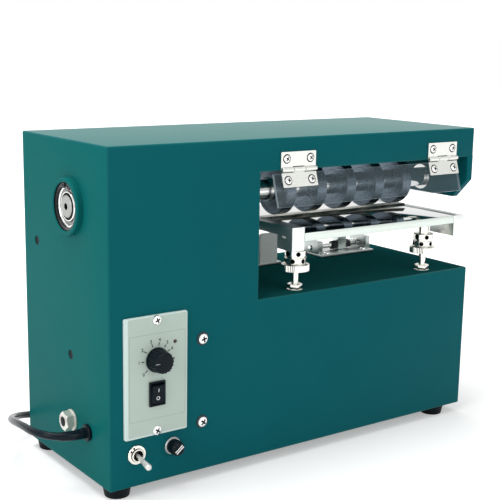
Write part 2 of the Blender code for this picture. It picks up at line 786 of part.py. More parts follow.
def make_front_sheet():
    half_width = CONTROLLER_WIDTH / 2 + FIT
    half_height = CONTROLLER_HEIGHT / 2 + FIT
    low = (PANEL_X - half_width, PANEL_Z - half_height)
    high = (PANEL_X + half_width, PANEL_Z + half_height)
    holes = [
        rectangle(low, high),
        circle((TOGGLE_X, TOGGLE_Z), TOGGLE_THREAD_RADIUS + FIT, SMALL),
        circle((FUSE_X, FUSE_Z), FUSE_BARREL_RADIUS + FIT, SMALL),
    ]
    for screw, places in (
        (MOUNT_SCREW, mount_screw_places()),
        (PANEL_SCREW, panel_screw_places()),
        (HINGE_SCREW, [
            place for left in hinge_lefts() for place in hinge_screw_places(left, HINGE_Z + HINGE_SCREW_DROP)
        ]),
    ):
        holes += [circle((x, z), screw.shank_radius + FIT) for x, _, z in places]
    piece("front_sheet", flat(housing_outline(), SHEET, holes), "teal_paint", MACHINE,
          (0, SHEET / 2, 0), FACING_FRONT)


def make_rear_cover():
    holes = []
    lowest = GEARBOX_Z - VENT_BELOW_MOTOR - ((VENT_COUNT - 1) * VENT_PITCH + VENT_HEIGHT) / 2
    for row in range(VENT_COUNT):
        low = lowest + row * VENT_PITCH
        holes.append(rectangle((VENT_X, low), (VENT_X + VENT_LENGTH, low + VENT_HEIGHT)))
    cover = piece("rear_cover", flat(housing_outline(), SHEET, holes), "teal_paint", MACHINE,
                  (0, BODY_DEPTH - SHEET / 2, 0), FACING_FRONT)
    add_screws(cover, COVER_SCREW, cover_screw_places(), FACING_BACK)


def make_left_side():
    outline = rectangle((0, FOOT_HEIGHT), (BODY_DEPTH, TOP_Z - SHEET - FIT))
    holes = [
        circle((ARBOR_Y, ARBOR_Z), BOSS_RADIUS + FIT, FINE),
        circle((BODY_DEPTH - SIDE_HOLE_UPPER_INSET, FOOT_HEIGHT + SIDE_HOLE_UPPER_HEIGHT), SIDE_HOLE_RADIUS),
        circle((SIDE_HOLE_LOWER_Y, FOOT_HEIGHT + SIDE_HOLE_LOWER_HEIGHT), SIDE_HOLE_RADIUS),
        circle((SIDE_BOLT_Y, FOOT_HEIGHT + SIDE_BOLT_HEIGHT), SIDE_BOLT_SHANK_RADIUS + FIT),
        circle((BUSHING_Y, BUSHING_Z), BUSHING_BARREL_RADIUS + FIT, SMALL),
    ]
    piece("left_side_plate", flat(outline, SHEET, holes), "teal_paint", MACHINE, (SHEET / 2, 0, 0), SIDE_ON)


def make_plain_sheets():
    inner_front = SHEET + FIT
    inner_back = BODY_DEPTH - SHEET - FIT
    shelf_left = TOWER_WIDTH - SHEET
    box_piece("top_sheet", (0, 0, TOP_Z - SHEET), (BODY_WIDTH, BODY_DEPTH, TOP_Z),
              "teal_paint", MACHINE, SHEET_EDGE)
    box_piece("shelf_sheet", (shelf_left, 0, SHELF_Z - SHEET), (BODY_WIDTH, BODY_DEPTH, SHELF_Z),
              "teal_paint", MACHINE, SHEET_EDGE)
    box_piece("beam_floor", (shelf_left, inner_front, BEAM_Z), (END_X - FIT, inner_back, BEAM_Z + SHEET),
              "teal_paint", MACHINE)
    tray = [
        (inner_front, FOOT_HEIGHT), (BODY_WIDTH, FOOT_HEIGHT), (BODY_WIDTH, SHELF_Z - SHEET - FIT),
        (BODY_WIDTH - SHEET, SHELF_Z - SHEET - FIT), (BODY_WIDTH - SHEET, FOOT_HEIGHT + SHEET),
        (inner_front, FOOT_HEIGHT + SHEET),
    ]
    piece("base_tray", flat(tray, inner_back - inner_front), "teal_paint", MACHINE,
          (0, (inner_front + inner_back) / 2, 0), FACING_FRONT)
    wall = rectangle((0, SHELF_Z + FIT), (BODY_DEPTH, BEAM_Z - FIT))
    hole = circle((ARBOR_Y, ARBOR_Z), ARBOR_RADIUS + RUNNING, ROUND)
    piece("tower_inner_wall", flat(wall, SHEET, [hole]), "teal_paint", MACHINE,
          (TOWER_WIDTH - SHEET / 2, 0, 0), SIDE_ON)


def make_end_plate():
    """The thick plate at the beam's right end, with its chamfered lower corners and the bearing's bore."""
    low = BEAM_Z - END_PLATE_DROP
    straight = BEAM_Z - END_PLATE_STRAIGHT
    top = TOP_Z - SHEET - FIT
    outline = [
        (0, top), (0, straight), (END_PLATE_CHAMFER, low), (BODY_DEPTH - END_PLATE_CHAMFER, low),
        (BODY_DEPTH, straight), (BODY_DEPTH, top),
    ]
    bore = circle((ARBOR_Y, ARBOR_Z), RIGHT_BEARING_RADIUS + FIT, ROUND)
    piece("beam_end_plate", flat(outline, END_PLATE, [bore]), "teal_paint", MACHINE,
          (BODY_WIDTH - END_PLATE / 2, 0, 0), SIDE_ON)


def make_feet():
    top = FOOT_HEIGHT - FIT
    profile = [
        (0, top), (FOOT_TOP_RADIUS, top), (FOOT_BOTTOM_RADIUS, 0), (FOOT_HOLE_RADIUS, 0),
        (FOOT_HOLE_RADIUS, FOOT_HOLE_DEPTH), (0, FOOT_HOLE_DEPTH),
    ]
    places = [
        (x, y, 0)
        for x in (FOOT_INSET, BODY_WIDTH - RIGHT_FOOT_INSET)
        for y in (FOOT_INSET, BODY_DEPTH - FOOT_INSET)
    ]
    foot = turned(profile, SMALL)
    for number, place in enumerate(places, 1):
        piece(f"rubber_foot_{number}", foot, "black_rubber", MACHINE, place)


def make_boss_and_bearings():
    """The left bearing in its raised boss, kept by a circlip, and the right one in the end plate."""
    left = -BOSS_REACH
    race_left = left + BEARING_INSET
    race_right = race_left + LEFT_BEARING_WIDTH
    shoulder = race_right + FIT + BOSS_SHOULDER
    bore = LEFT_BEARING_RADIUS + FIT
    at = (0, ARBOR_Y, ARBOR_Z)
    boss = [
        (BOSS_RADIUS, shoulder), (BOSS_RADIUS, left + BOSS_CHAMFER), (BOSS_RADIUS - BOSS_CHAMFER, left),
        (bore, left), (bore, race_right + FIT), (BOSS_SHOULDER_RADIUS, race_right + FIT),
        (BOSS_SHOULDER_RADIUS, shoulder),
    ]
    piece("bearing_boss", turned(boss, FINE, closed=True), "teal_paint", MACHINE, at, FACING_RIGHT)

    inner_radius = ARBOR_RADIUS + FIT + RACE_WALL
    outer_wall = LEFT_BEARING_RADIUS - RACE_WALL
    shield = race_left + SHIELD_INSET
    outer = [
        (LEFT_BEARING_RADIUS, race_right), (LEFT_BEARING_RADIUS, race_left), (outer_wall, race_left),
        (outer_wall, shield), (inner_radius + RUNNING, shield),
        (inner_radius + RUNNING, shield + SHIELD_THICKNESS), (outer_wall, shield + SHIELD_THICKNESS),
        (outer_wall, race_right),
    ]
    piece("bearing_left_outer_race", turned(outer, ROUND, closed=True), "brushed_steel", MACHINE,
          at, FACING_RIGHT)
    inner = ring(inner_radius, ARBOR_RADIUS + FIT, race_left, race_right)
    piece("bearing_left_inner_race", inner, "brushed_steel", ARBOR, at, FACING_RIGHT)
    bore = RIGHT_JOURNAL_RADIUS + RUNNING
    right = ring(RIGHT_BEARING_RADIUS, bore, END_X + FIT, BODY_WIDTH - FIT, SHAFT_CHAMFER)
    piece("bearing_right", right, "brushed_steel", MACHINE, at, FACING_RIGHT)

    start = CIRCLIP_GAP_DEGREES / 2
    stop = 360 - start
    ear = CIRCLIP_EAR_DEGREES
    inside = LEFT_BEARING_RADIUS - CIRCLIP_WIDTH
    ear_inside = inside - CIRCLIP_EAR_RADIUS
    outline = arc((0, 0), LEFT_BEARING_RADIUS, start, stop, ROUND)
    outline += arc((0, 0), ear_inside, stop, stop - ear, CIRCLIP_EAR_STEPS)
    outline += arc((0, 0), inside, stop - ear, start + ear, ROUND)
    outline += arc((0, 0), ear_inside, start + ear, start, CIRCLIP_EAR_STEPS)
    ear_middle = (LEFT_BEARING_RADIUS + ear_inside) / 2
    holes = []
    for turn in (math.radians(start + ear / 2), math.radians(stop - ear / 2)):
        holes.append(circle((ear_middle * math.cos(turn), ear_middle * math.sin(turn)), CIRCLIP_HOLE_RADIUS))
    clip_x = race_left - FIT - CIRCLIP_THICKNESS / 2
    piece("bearing_circlip", flat(outline, CIRCLIP_THICKNESS, holes), "dark_steel", MACHINE,
          (clip_x, ARBOR_Y, ARBOR_Z), SIDE_ON)


def together(meshes):
    """One mesh of several separate bodies."""
    def build(bm):
        for mesh in meshes:
            bm.from_mesh(mesh)
    return mesh_of(build)


def hex_prism(across_flats, height):
    """A hexagonal prism along Z, made to its width across the flats."""
    return rod(across_flats / 2 / math.cos(math.radians(30)), height, 6)


def tapered(mesh, share):
    """Draws in the far end of a mesh, to a share of its width."""
    for vert in mesh.vertices:
        if vert.co.z > 0:
            vert.co.x *= share
            vert.co.y *= share
    return mesh


def toothed(radius, tooth, teeth):
    """An outline of small teeth round a circle."""
    points = []
    for step in range(teeth * 2):
        reach = radius if step % 2 else radius - tooth
        angle = math.pi * step / teeth
        points.append((reach * math.cos(angle), reach * math.sin(angle)))
    return points


def make_arbor():
    """The shaft, stepped down at its right bearing and ringed ahead of the first of its five discs."""
    left = -BOSS_REACH + SHAFT_END_INSET
    right = BODY_WIDTH + SHAFT_REACH
    at = (0, ARBOR_Y, ARBOR_Z)
    chamfer = SHAFT_CHAMFER
    collar = FIRST_DISC_X - COLLAR_RING_INSET
    shaft = [
        (0, right), (RIGHT_JOURNAL_RADIUS - chamfer, right), (RIGHT_JOURNAL_RADIUS, right - chamfer),
        (RIGHT_JOURNAL_RADIUS, END_X), (ARBOR_RADIUS, END_X), (ARBOR_RADIUS, collar + COLLAR_RING_WIDTH),
        (COLLAR_RING_RADIUS, collar + COLLAR_RING_WIDTH), (COLLAR_RING_RADIUS, collar),
        (ARBOR_RADIUS, collar), (ARBOR_RADIUS, left + chamfer), (ARBOR_RADIUS - chamfer, left),
        (CENTRE_HOLE_RADIUS, left),
        (0, left + CENTRE_HOLE_DEPTH),
    ]
    piece("feed_shaft", turned(shaft), "polished_steel", ARBOR, at, FACING_RIGHT)

    half = DISC_THICKNESS / 2
    for number in range(DISC_COUNT):
        centre = FIRST_DISC_X + DISC_PITCH * number
        disc = ring(DISC_RADIUS, ARBOR_RADIUS + FIT, centre - half, centre + half, 0, FINE)
        piece(f"feed_disc_{number + 1}", disc, "dark_steel", ARBOR, at, FACING_RIGHT)


def pulley(groove, bore):
    """A V pulley with its hub on the left, drawn about the belt's plane."""
    half = PULLEY_WIDTH / 2
    rim = groove + BELT_THICKNESS + PULLEY_LIP
    mouth = BELT_WIDTH / 2 + PULLEY_FLARE
    floor = mouth * BELT_TAPER_SHARE
    profile = [
        (rim, half), (rim, mouth), (groove, floor), (groove, -floor), (rim, -mouth), (rim, -half),
        (PULLEY_HUB_RADIUS, -half), (PULLEY_HUB_RADIUS, -half - PULLEY_HUB_LENGTH),
        (bore, -half - PULLEY_HUB_LENGTH), (bore, half),
    ]
    return turned(profile, FINE, closed=True)


def belt_loop(lift):
    """The belt's line round both pulleys, at a height above their grooves."""
    large = DRIVEN_GROOVE_RADIUS + lift
    small = MOTOR_GROOVE_RADIUS + lift
    lean = math.degrees(math.asin((large - small) / (ARBOR_Z - SPINDLE_Z)))
    top = arc((ARBOR_Y, ARBOR_Z), large, -lean, 180 + lean, SMALL)
    return top + arc((ARBOR_Y, SPINDLE_Z), small, 180 + lean, 360 - lean, SMALL)


def make_belt_drive():
    at = (BELT_X, ARBOR_Y, ARBOR_Z)
    piece("driven_pulley", pulley(DRIVEN_GROOVE_RADIUS, ARBOR_RADIUS + FIT), "cast_alloy",
          ARBOR, at, FACING_RIGHT)

    inner = belt_loop(RUNNING)
    belt = flat(belt_loop(RUNNING + BELT_THICKNESS), BELT_WIDTH, [inner])
    for vert in belt.vertices:
        if any(math.hypot(vert.co.x - y, vert.co.y - z) < FIT for y, z in inner):
            vert.co.z *= BELT_TAPER_SHARE
    piece("v_belt", belt, "black_rubber", MACHINE, (BELT_X, 0, 0), SIDE_ON)

    left = BELT_X - PULLEY_WIDTH / 2 - PULLEY_HUB_LENGTH - SPINDLE_REACH
    right = MOUNT_X + MOUNT_THICKNESS + FIT + SPINDLE_SEAT
    spindle = [
        (0, right), (SPINDLE_RADIUS, right), (SPINDLE_RADIUS, left + SHAFT_CHAMFER),
        (SPINDLE_RADIUS - SHAFT_CHAMFER, left), (0, left),
    ]
    motor_pulley = piece("motor_pulley", pulley(MOTOR_GROOVE_RADIUS, SPINDLE_RADIUS - FIT), "cast_alloy",
                         SPINDLE, (BELT_X, ARBOR_Y, SPINDLE_Z), FACING_RIGHT)
    boolean(motor_pulley, turned(spindle, SMALL), SPINDLE, (0, ARBOR_Y, SPINDLE_Z), FACING_RIGHT, "UNION")


def make_motor():
    """The gear motor, on a plate that two screws hold behind the front."""
    base = FOOT_HEIGHT + SHEET + FIT
    front = SHEET + FIT
    plate = box_piece("motor_mount_plate", (MOUNT_X, front, base),
                      (MOUNT_X + MOUNT_THICKNESS, BODY_DEPTH - MOUNT_BACK_GAP, SHELF_Z - MOUNT_SHELF_GAP),
                      "zinc_steel", MACHINE, SHEET_EDGE)
    boolean(plate, rod(GEARBOX_BOSS_RADIUS + FIT, MOUNT_THICKNESS * 2, ROUND), MACHINE,
            (MOUNT_X + MOUNT_THICKNESS / 2, ARBOR_Y, SPINDLE_Z), FACING_RIGHT)
    add_screws(plate, MOUNT_SCREW, mount_screw_places(), FACING_FRONT)

    left = MOUNT_X + MOUNT_THICKNESS + FIT
    half = GEARBOX_SIDE / 2
    gearbox = box_piece("gearbox", (left, ARBOR_Y - half, GEARBOX_Z - half),
                        (left + GEARBOX_LENGTH, ARBOR_Y + half, GEARBOX_Z + half),
                        "cast_alloy", MACHINE, GEARBOX_EDGE)
    boss = rod(GEARBOX_BOSS_RADIUS, GEARBOX_BOSS_LENGTH + GEARBOX_EDGE, ROUND)
    boss_x = left + (GEARBOX_EDGE - GEARBOX_BOSS_LENGTH) / 2
    boolean(gearbox, boss, MACHINE, (boss_x, ARBOR_Y, SPINDLE_Z), FACING_RIGHT, "UNION")
    bore_length = GEARBOX_BOSS_LENGTH + SPINDLE_SEAT + OVERRUN * 2
    bore_x = left - GEARBOX_BOSS_LENGTH - OVERRUN + bore_length / 2
    boolean(gearbox, rod(SPINDLE_RADIUS + RUNNING, bore_length, SMALL), MACHINE,
            (bore_x, ARBOR_Y, SPINDLE_Z), FACING_RIGHT)

    start = left + GEARBOX_LENGTH + FIT
    end = start + MOTOR_LENGTH
    cover = end - MOTOR_COVER_LENGTH
    body = [
        (0, end), (MOTOR_COVER_RADIUS - MOTOR_STEP, end), (MOTOR_COVER_RADIUS, end - MOTOR_STEP),
        (MOTOR_COVER_RADIUS, cover), (MOTOR_RADIUS, cover), (MOTOR_RADIUS, start), (0, start),
    ]
    piece("motor_body", turned(body, FINE), "black_plastic", MACHINE, (0, ARBOR_Y, GEARBOX_Z), FACING_RIGHT)


def make_table():
    """The polished plate between its two arms, with the fixed blade across it."""
    plate = box_piece("table_plate", (TABLE_LEFT, -TABLE_FRONT, TABLE_UNDER_Z),
                      (TABLE_RIGHT, TABLE_BACK, TABLE_Z), "polished_steel", TABLE, TABLE_EDGE)
    depth = JACK_THREAD_DEPTH + JACK_TRAVEL_GAP + OVERRUN
    middle = TABLE_UNDER_Z - OVERRUN + depth / 2
    holes = [(x, JACK_Y, middle) for x in jack_places()]
    boolean(plate, rod(JACK_SHANK_RADIUS + JACK_THREAD_GAP, depth, SMALL, holes), TABLE, (0, 0, 0))

    def arm(name, left, top, block_height, block_depth):
        front = -TABLE_FRONT
        under = top - RAIL_HEIGHT
        outline = [
            (front, top - block_height), (front + block_depth, top - block_height),
            (front + block_depth, under), (TABLE_BACK, under), (TABLE_BACK, top), (front, top),
        ]
        return piece(name, flat(outline, RAIL_WIDTH), "polished_steel", TABLE,
                     (left + RAIL_WIDTH / 2, 0, 0), SIDE_ON, edge=TABLE_EDGE)

    arm_top = TABLE_Z + RAIL_RISE
    left_arm = arm("table_arm_left", LEFT_RAIL_X, arm_top, RAIL_BLOCK_HEIGHT, RAIL_BLOCK_DEPTH)
    slot_z = arm_top - RAIL_HEIGHT
    slot_y = -TABLE_FRONT + RAIL_SLOT_INSET
    cut_box(left_arm, (LEFT_RAIL_X - OVERRUN, slot_y, slot_z - RAIL_SLOT_HEIGHT),
            (LEFT_RAIL_X + RAIL_SLOT_DEPTH, slot_y + RAIL_SLOT_LENGTH, slot_z), TABLE)
    arm("table_arm_right", RIGHT_RAIL_X, TABLE_Z, RIGHT_BLOCK_HEIGHT, RIGHT_BLOCK_DEPTH)

    low = TABLE_Z + FIT
    high = low + BLADE_THICKNESS
    front = ARBOR_Y - BLADE_LEAD
    outline = [
        (front, low), (front + BLADE_DEPTH, low), (front + BLADE_DEPTH, high), (front + BLADE_BEVEL, high),
    ]
    piece("skiving_blade", flat(outline, TABLE_RIGHT - TABLE_LEFT - FIT), "blade_steel", TABLE,
          ((TABLE_LEFT + TABLE_RIGHT) / 2, 0, 0), SIDE_ON)

    half = LUG_DEPTH / 2
    lugs = []
    for left in lug_lefts():
        size, middle = spans((left, PIVOT_Y - half, PIVOT_Z - LUG_BELOW_ROD),
                             (left + LUG_WIDTH, PIVOT_Y + half, TABLE_UNDER_Z + TABLE_THICKNESS / 2))
        lugs.append(copies(block(size), [middle]))
    boolean(plate, together(lugs), TABLE, (0, 0, 0), operation="UNION")
    bores = [(left + LUG_WIDTH / 2, PIVOT_Y, PIVOT_Z) for left in lug_lefts()]
    bore = copies(rod(PIVOT_ROD_RADIUS + RUNNING, LUG_WIDTH * 2, SMALL), bores, FACING_RIGHT)
    boolean(plate, bore, TABLE, (0, 0, 0))


def jack_places():
    return (LEFT_RAIL_X + RAIL_WIDTH + JACK_LEFT_INSET, RIGHT_RAIL_X - JACK_RIGHT_INSET)


def bracket_lefts():
    """The right bracket ends under the right arm, and the left one mirrors it about the table's middle."""
    right = RIGHT_RAIL_X + BRACKET_UNDER_ARM - BRACKET_LENGTH
    return (TABLE_LEFT + TABLE_RIGHT - right - BRACKET_LENGTH, right)


def lug_lefts():
    left, right = bracket_lefts()
    return (left + LUG_INSET, right + BRACKET_LENGTH - LUG_INSET - LUG_WIDTH)


def make_jack(name, x):
    """A jack screw: hexagonal foot, shank, knurled wheel, collar with cross holes, and its thread's end."""
    wheel = JACK_WHEEL_RISE
    collar = wheel + JACK_WHEEL_HEIGHT
    neck = collar + JACK_COLLAR_HEIGHT
    under = TABLE_UNDER_Z - SHELF_Z
    stop = JACK_TOP
    shank = JACK_SHANK_RADIUS
    overlap = JACK_HEAD_HEIGHT / 2
    profile = [
        (0, under + JACK_THREAD_DEPTH), (shank, under + JACK_THREAD_DEPTH), (shank, stop),
        (JACK_NECK_RADIUS, stop), (JACK_NECK_RADIUS, neck), (JACK_COLLAR_RADIUS - SHAFT_CHAMFER, neck),
        (JACK_COLLAR_RADIUS, neck - SHAFT_CHAMFER), (JACK_COLLAR_RADIUS, wheel + overlap),
        (shank, wheel + overlap), (shank, overlap), (0, overlap),
    ]
    jack = piece(name, turned(profile, ROUND), "zinc_steel", MACHINE, (x, JACK_Y, SHELF_Z),
                 (0, 0, JACK_SHANK_TURN))
    teeth = toothed(JACK_WHEEL_RADIUS, JACK_WHEEL_TOOTH, JACK_WHEEL_TEETH)
    boolean(jack, flat(teeth, JACK_WHEEL_HEIGHT), MACHINE,
            (x, JACK_Y, SHELF_Z + wheel + JACK_WHEEL_HEIGHT / 2), operation="UNION")
    boolean(jack, hex_prism(JACK_HEAD_WIDTH, JACK_HEAD_HEIGHT), MACHINE,
            (x, JACK_Y, SHELF_Z + FIT + JACK_HEAD_HEIGHT / 2), (0, 0, JACK_HEAD_TURN), "UNION")
    drills = []
    for number in range(JACK_COLLAR_HOLES):
        turn = Matrix.Rotation(math.tau * number / JACK_COLLAR_HOLES + JACK_HOLE_TURN, 4, "Z")
        spot = turn @ Vector((JACK_COLLAR_RADIUS, 0, 0))
        heading = (0, math.radians(90), turn.to_euler().z)
        drills.append(copies(rod(JACK_COLLAR_HOLE_RADIUS, JACK_COLLAR_RADIUS, TINY), [spot], heading))
    boolean(jack, together(drills), MACHINE, (x, JACK_Y, SHELF_Z + (collar + neck) / 2))


def make_pivots():
    """The sprung rear pivots: brackets on the shelf, with a rod, two nuts and a spring in each."""
    names = ("pivot_bracket_left", "pivot_bracket_right")
    half_ear = BRACKET_EAR_DEPTH / 2
    base_top = BRACKET_Z + BRACKET_BASE
    ear_low = base_top - BRACKET_BASE / 2
    ear_top = base_top + BRACKET_EAR_HEIGHT
    upright_top = TABLE_UNDER_Z - UPRIGHT_BELOW_TABLE
    upright_front = PIVOT_Y - BRACKET_DEPTH / 2 + BRACKET_EDGE
    for name, left, lug, facing in zip(names, bracket_lefts(), lug_lefts(), (-1, 1)):
        right = left + BRACKET_LENGTH
        bracket = box_piece(name, (left, PIVOT_Y - BRACKET_DEPTH / 2, BRACKET_Z),
                            (right, PIVOT_Y + BRACKET_DEPTH / 2, base_top),
                            "zinc_steel", MACHINE, BRACKET_EDGE)
        ears = []
        for x in (left + BRACKET_EDGE, right - BRACKET_EDGE - BRACKET_EAR):
            far = (x + BRACKET_EAR, PIVOT_Y + half_ear, ear_top)
            size, middle = spans((x, PIVOT_Y - half_ear, ear_low), far)
            ears.append(copies(block(size), [middle]))
        if facing < 0:
            size, middle = spans(
                (right - UPRIGHT_END_INSET - UPRIGHT_WIDTH, upright_front, ear_low),
                (right - UPRIGHT_END_INSET, upright_front + UPRIGHT_THICKNESS, upright_top),
            )
            ears.append(copies(block(size), [middle]))
        boolean(bracket, together(ears), MACHINE, (0, 0, 0), operation="UNION")
        middle = (left + right) / 2
        boolean(bracket, rod(PIVOT_ROD_RADIUS + FIT, BRACKET_LENGTH * 2, SMALL), MACHINE,
                (middle, PIVOT_Y, PIVOT_Z), FACING_RIGHT)
        pivot_rod = piece(name.replace("bracket", "rod"),
                          rod(PIVOT_ROD_RADIUS, BRACKET_LENGTH + PIVOT_ROD_REACH * 2, SMALL),
                          "polished_steel", MACHINE, (middle, PIVOT_Y, PIVOT_Z), FACING_RIGHT)
        gap = NUT_REACH - PIVOT_NUT_THICKNESS / 2
        nut = hex_prism(PIVOT_NUT_WIDTH, PIVOT_NUT_THICKNESS)
        nuts = copies(nut, [(x, PIVOT_Y, PIVOT_Z) for x in (lug - gap, lug + LUG_WIDTH + gap)], FACING_RIGHT)
        boolean(pivot_rod, nuts, MACHINE, (0, 0, 0), operation="UNION")
        reach = NUT_REACH - SPRING_WIRE_RADIUS
        if facing > 0:
            start = lug + LUG_WIDTH + reach
            stop = right - BRACKET_END - SPRING_END_GAP
        else:
            start = lug - reach
            stop = left + BRACKET_END + SPRING_END_GAP
        boolean(pivot_rod, helix(start, stop), MACHINE, (0, 0, 0), operation="UNION")


def helix(start, stop):
    """A spring round the pivot rod, its first coil bedded in the nut."""
    radius = PIVOT_ROD_RADIUS + RUNNING + SPRING_WIRE_RADIUS
    points = []
    steps = SPRING_TURNS * SPRING_POINTS
    for step in range(steps + 1):
        angle = math.tau * step / SPRING_POINTS
        x = start + (stop - start) * step / steps
        points.append((x, PIVOT_Y + radius * math.cos(angle), PIVOT_Z + radius * math.sin(angle)))
    return tube(points, SPRING_WIRE_RADIUS, 0)


def leaf_outline(lower):
    """A hinge leaf seen from the front, notched where the other leaf's knuckle turns."""
    notch = KNUCKLE_RADIUS + RUNNING
    third = (HINGE_WIDTH - CENTRE_KNUCKLE) / 2
    if lower:
        low, high = third + FIT, HINGE_WIDTH - third - FIT
        return [
            (0, HINGE_LEAF), (0, notch), (low, notch), (low, LEAF_EDGE), (high, LEAF_EDGE), (high, notch),
            (HINGE_WIDTH, notch), (HINGE_WIDTH, HINGE_LEAF),
        ]
    low, high = third, HINGE_WIDTH - third
    return [
        (0, HINGE_LEAF), (0, LEAF_EDGE), (low, LEAF_EDGE), (low, notch), (high, notch), (high, LEAF_EDGE),
        (HINGE_WIDTH, LEAF_EDGE), (HINGE_WIDTH, HINGE_LEAF),
    ]


def make_hinges():
    """Two butt hinges: the upper leaves carry the outer knuckles and the pins, the lower the centre one."""
    third = (HINGE_WIDTH - CENTRE_KNUCKLE) / 2
    leaf_y = -FIT - LEAF_THICKNESS / 2
    bore = PIN_RADIUS + FIT
    for side, left in zip(("left", "right"), hinge_lefts()):
        right = left + HINGE_WIDTH
        axle = ((left + right) / 2, HINGE_Y, HINGE_Z)
        for name, lower, frame, sign in (("upper", False, MACHINE, 1), ("lower", True, GUARD, -1)):
            outline = [(left + x, HINGE_Z + sign * rise) for x, rise in leaf_outline(lower)]
            leaf = piece(f"hinge_{side}_{name}_leaf", flat(outline, LEAF_THICKNESS), "polished_steel", frame,
                         (0, leaf_y, 0), FACING_FRONT)
            if lower:
                axis_bore = rod((KNUCKLE_RADIUS + bore) / 2, HINGE_WIDTH * 2, SMALL)
                boolean(leaf, axis_bore, frame, axle, FACING_RIGHT)
                low, high = left + third + FIT * 2, right - third - FIT * 2
                knuckle = ring(KNUCKLE_RADIUS, bore, low, high, 0, SMALL)
            else:
                low, high = left + third - FIT, right - third + FIT
                start, stop = left + FIT, right - FIT
                knuckle = turned([
                    (0, stop), (PIN_RADIUS, stop), (KNUCKLE_RADIUS, stop - LEAF_EDGE), (KNUCKLE_RADIUS, high),
                    (PIN_RADIUS, high), (PIN_RADIUS, low), (KNUCKLE_RADIUS, low),
                    (KNUCKLE_RADIUS, start + LEAF_EDGE), (PIN_RADIUS, start), (0, start),
                ], SMALL)
            boolean(leaf, knuckle, frame, (0, HINGE_Y, HINGE_Z), FACING_RIGHT, "UNION")
            add_screws(leaf, HINGE_SCREW, hinge_screw_places(left, HINGE_Z + sign * HINGE_SCREW_DROP),
                       FACING_FRONT, frame)


def make_guard():
    """The clear guard under the beam, drawn closed; its frame swings it out to rest."""
    left = TOWER_WIDTH + GUARD_LEFT
    high = HINGE_Z - GUARD_TOP
    outline = rectangle((left, high - GUARD_LENGTH), (END_X - GUARD_END_INSET, high))
    holes = [
        circle((x, z), HINGE_SCREW.shank_radius + FIT)
        for hinge in hinge_lefts() for x, _, z in hinge_screw_places(hinge, HINGE_Z - HINGE_SCREW_DROP)
    ]
    piece("guard_plate", flat(outline, GUARD_THICKNESS, holes), "clear_plastic", GUARD,
          (0, GUARD_THICKNESS / 2, 0), FACING_FRONT)


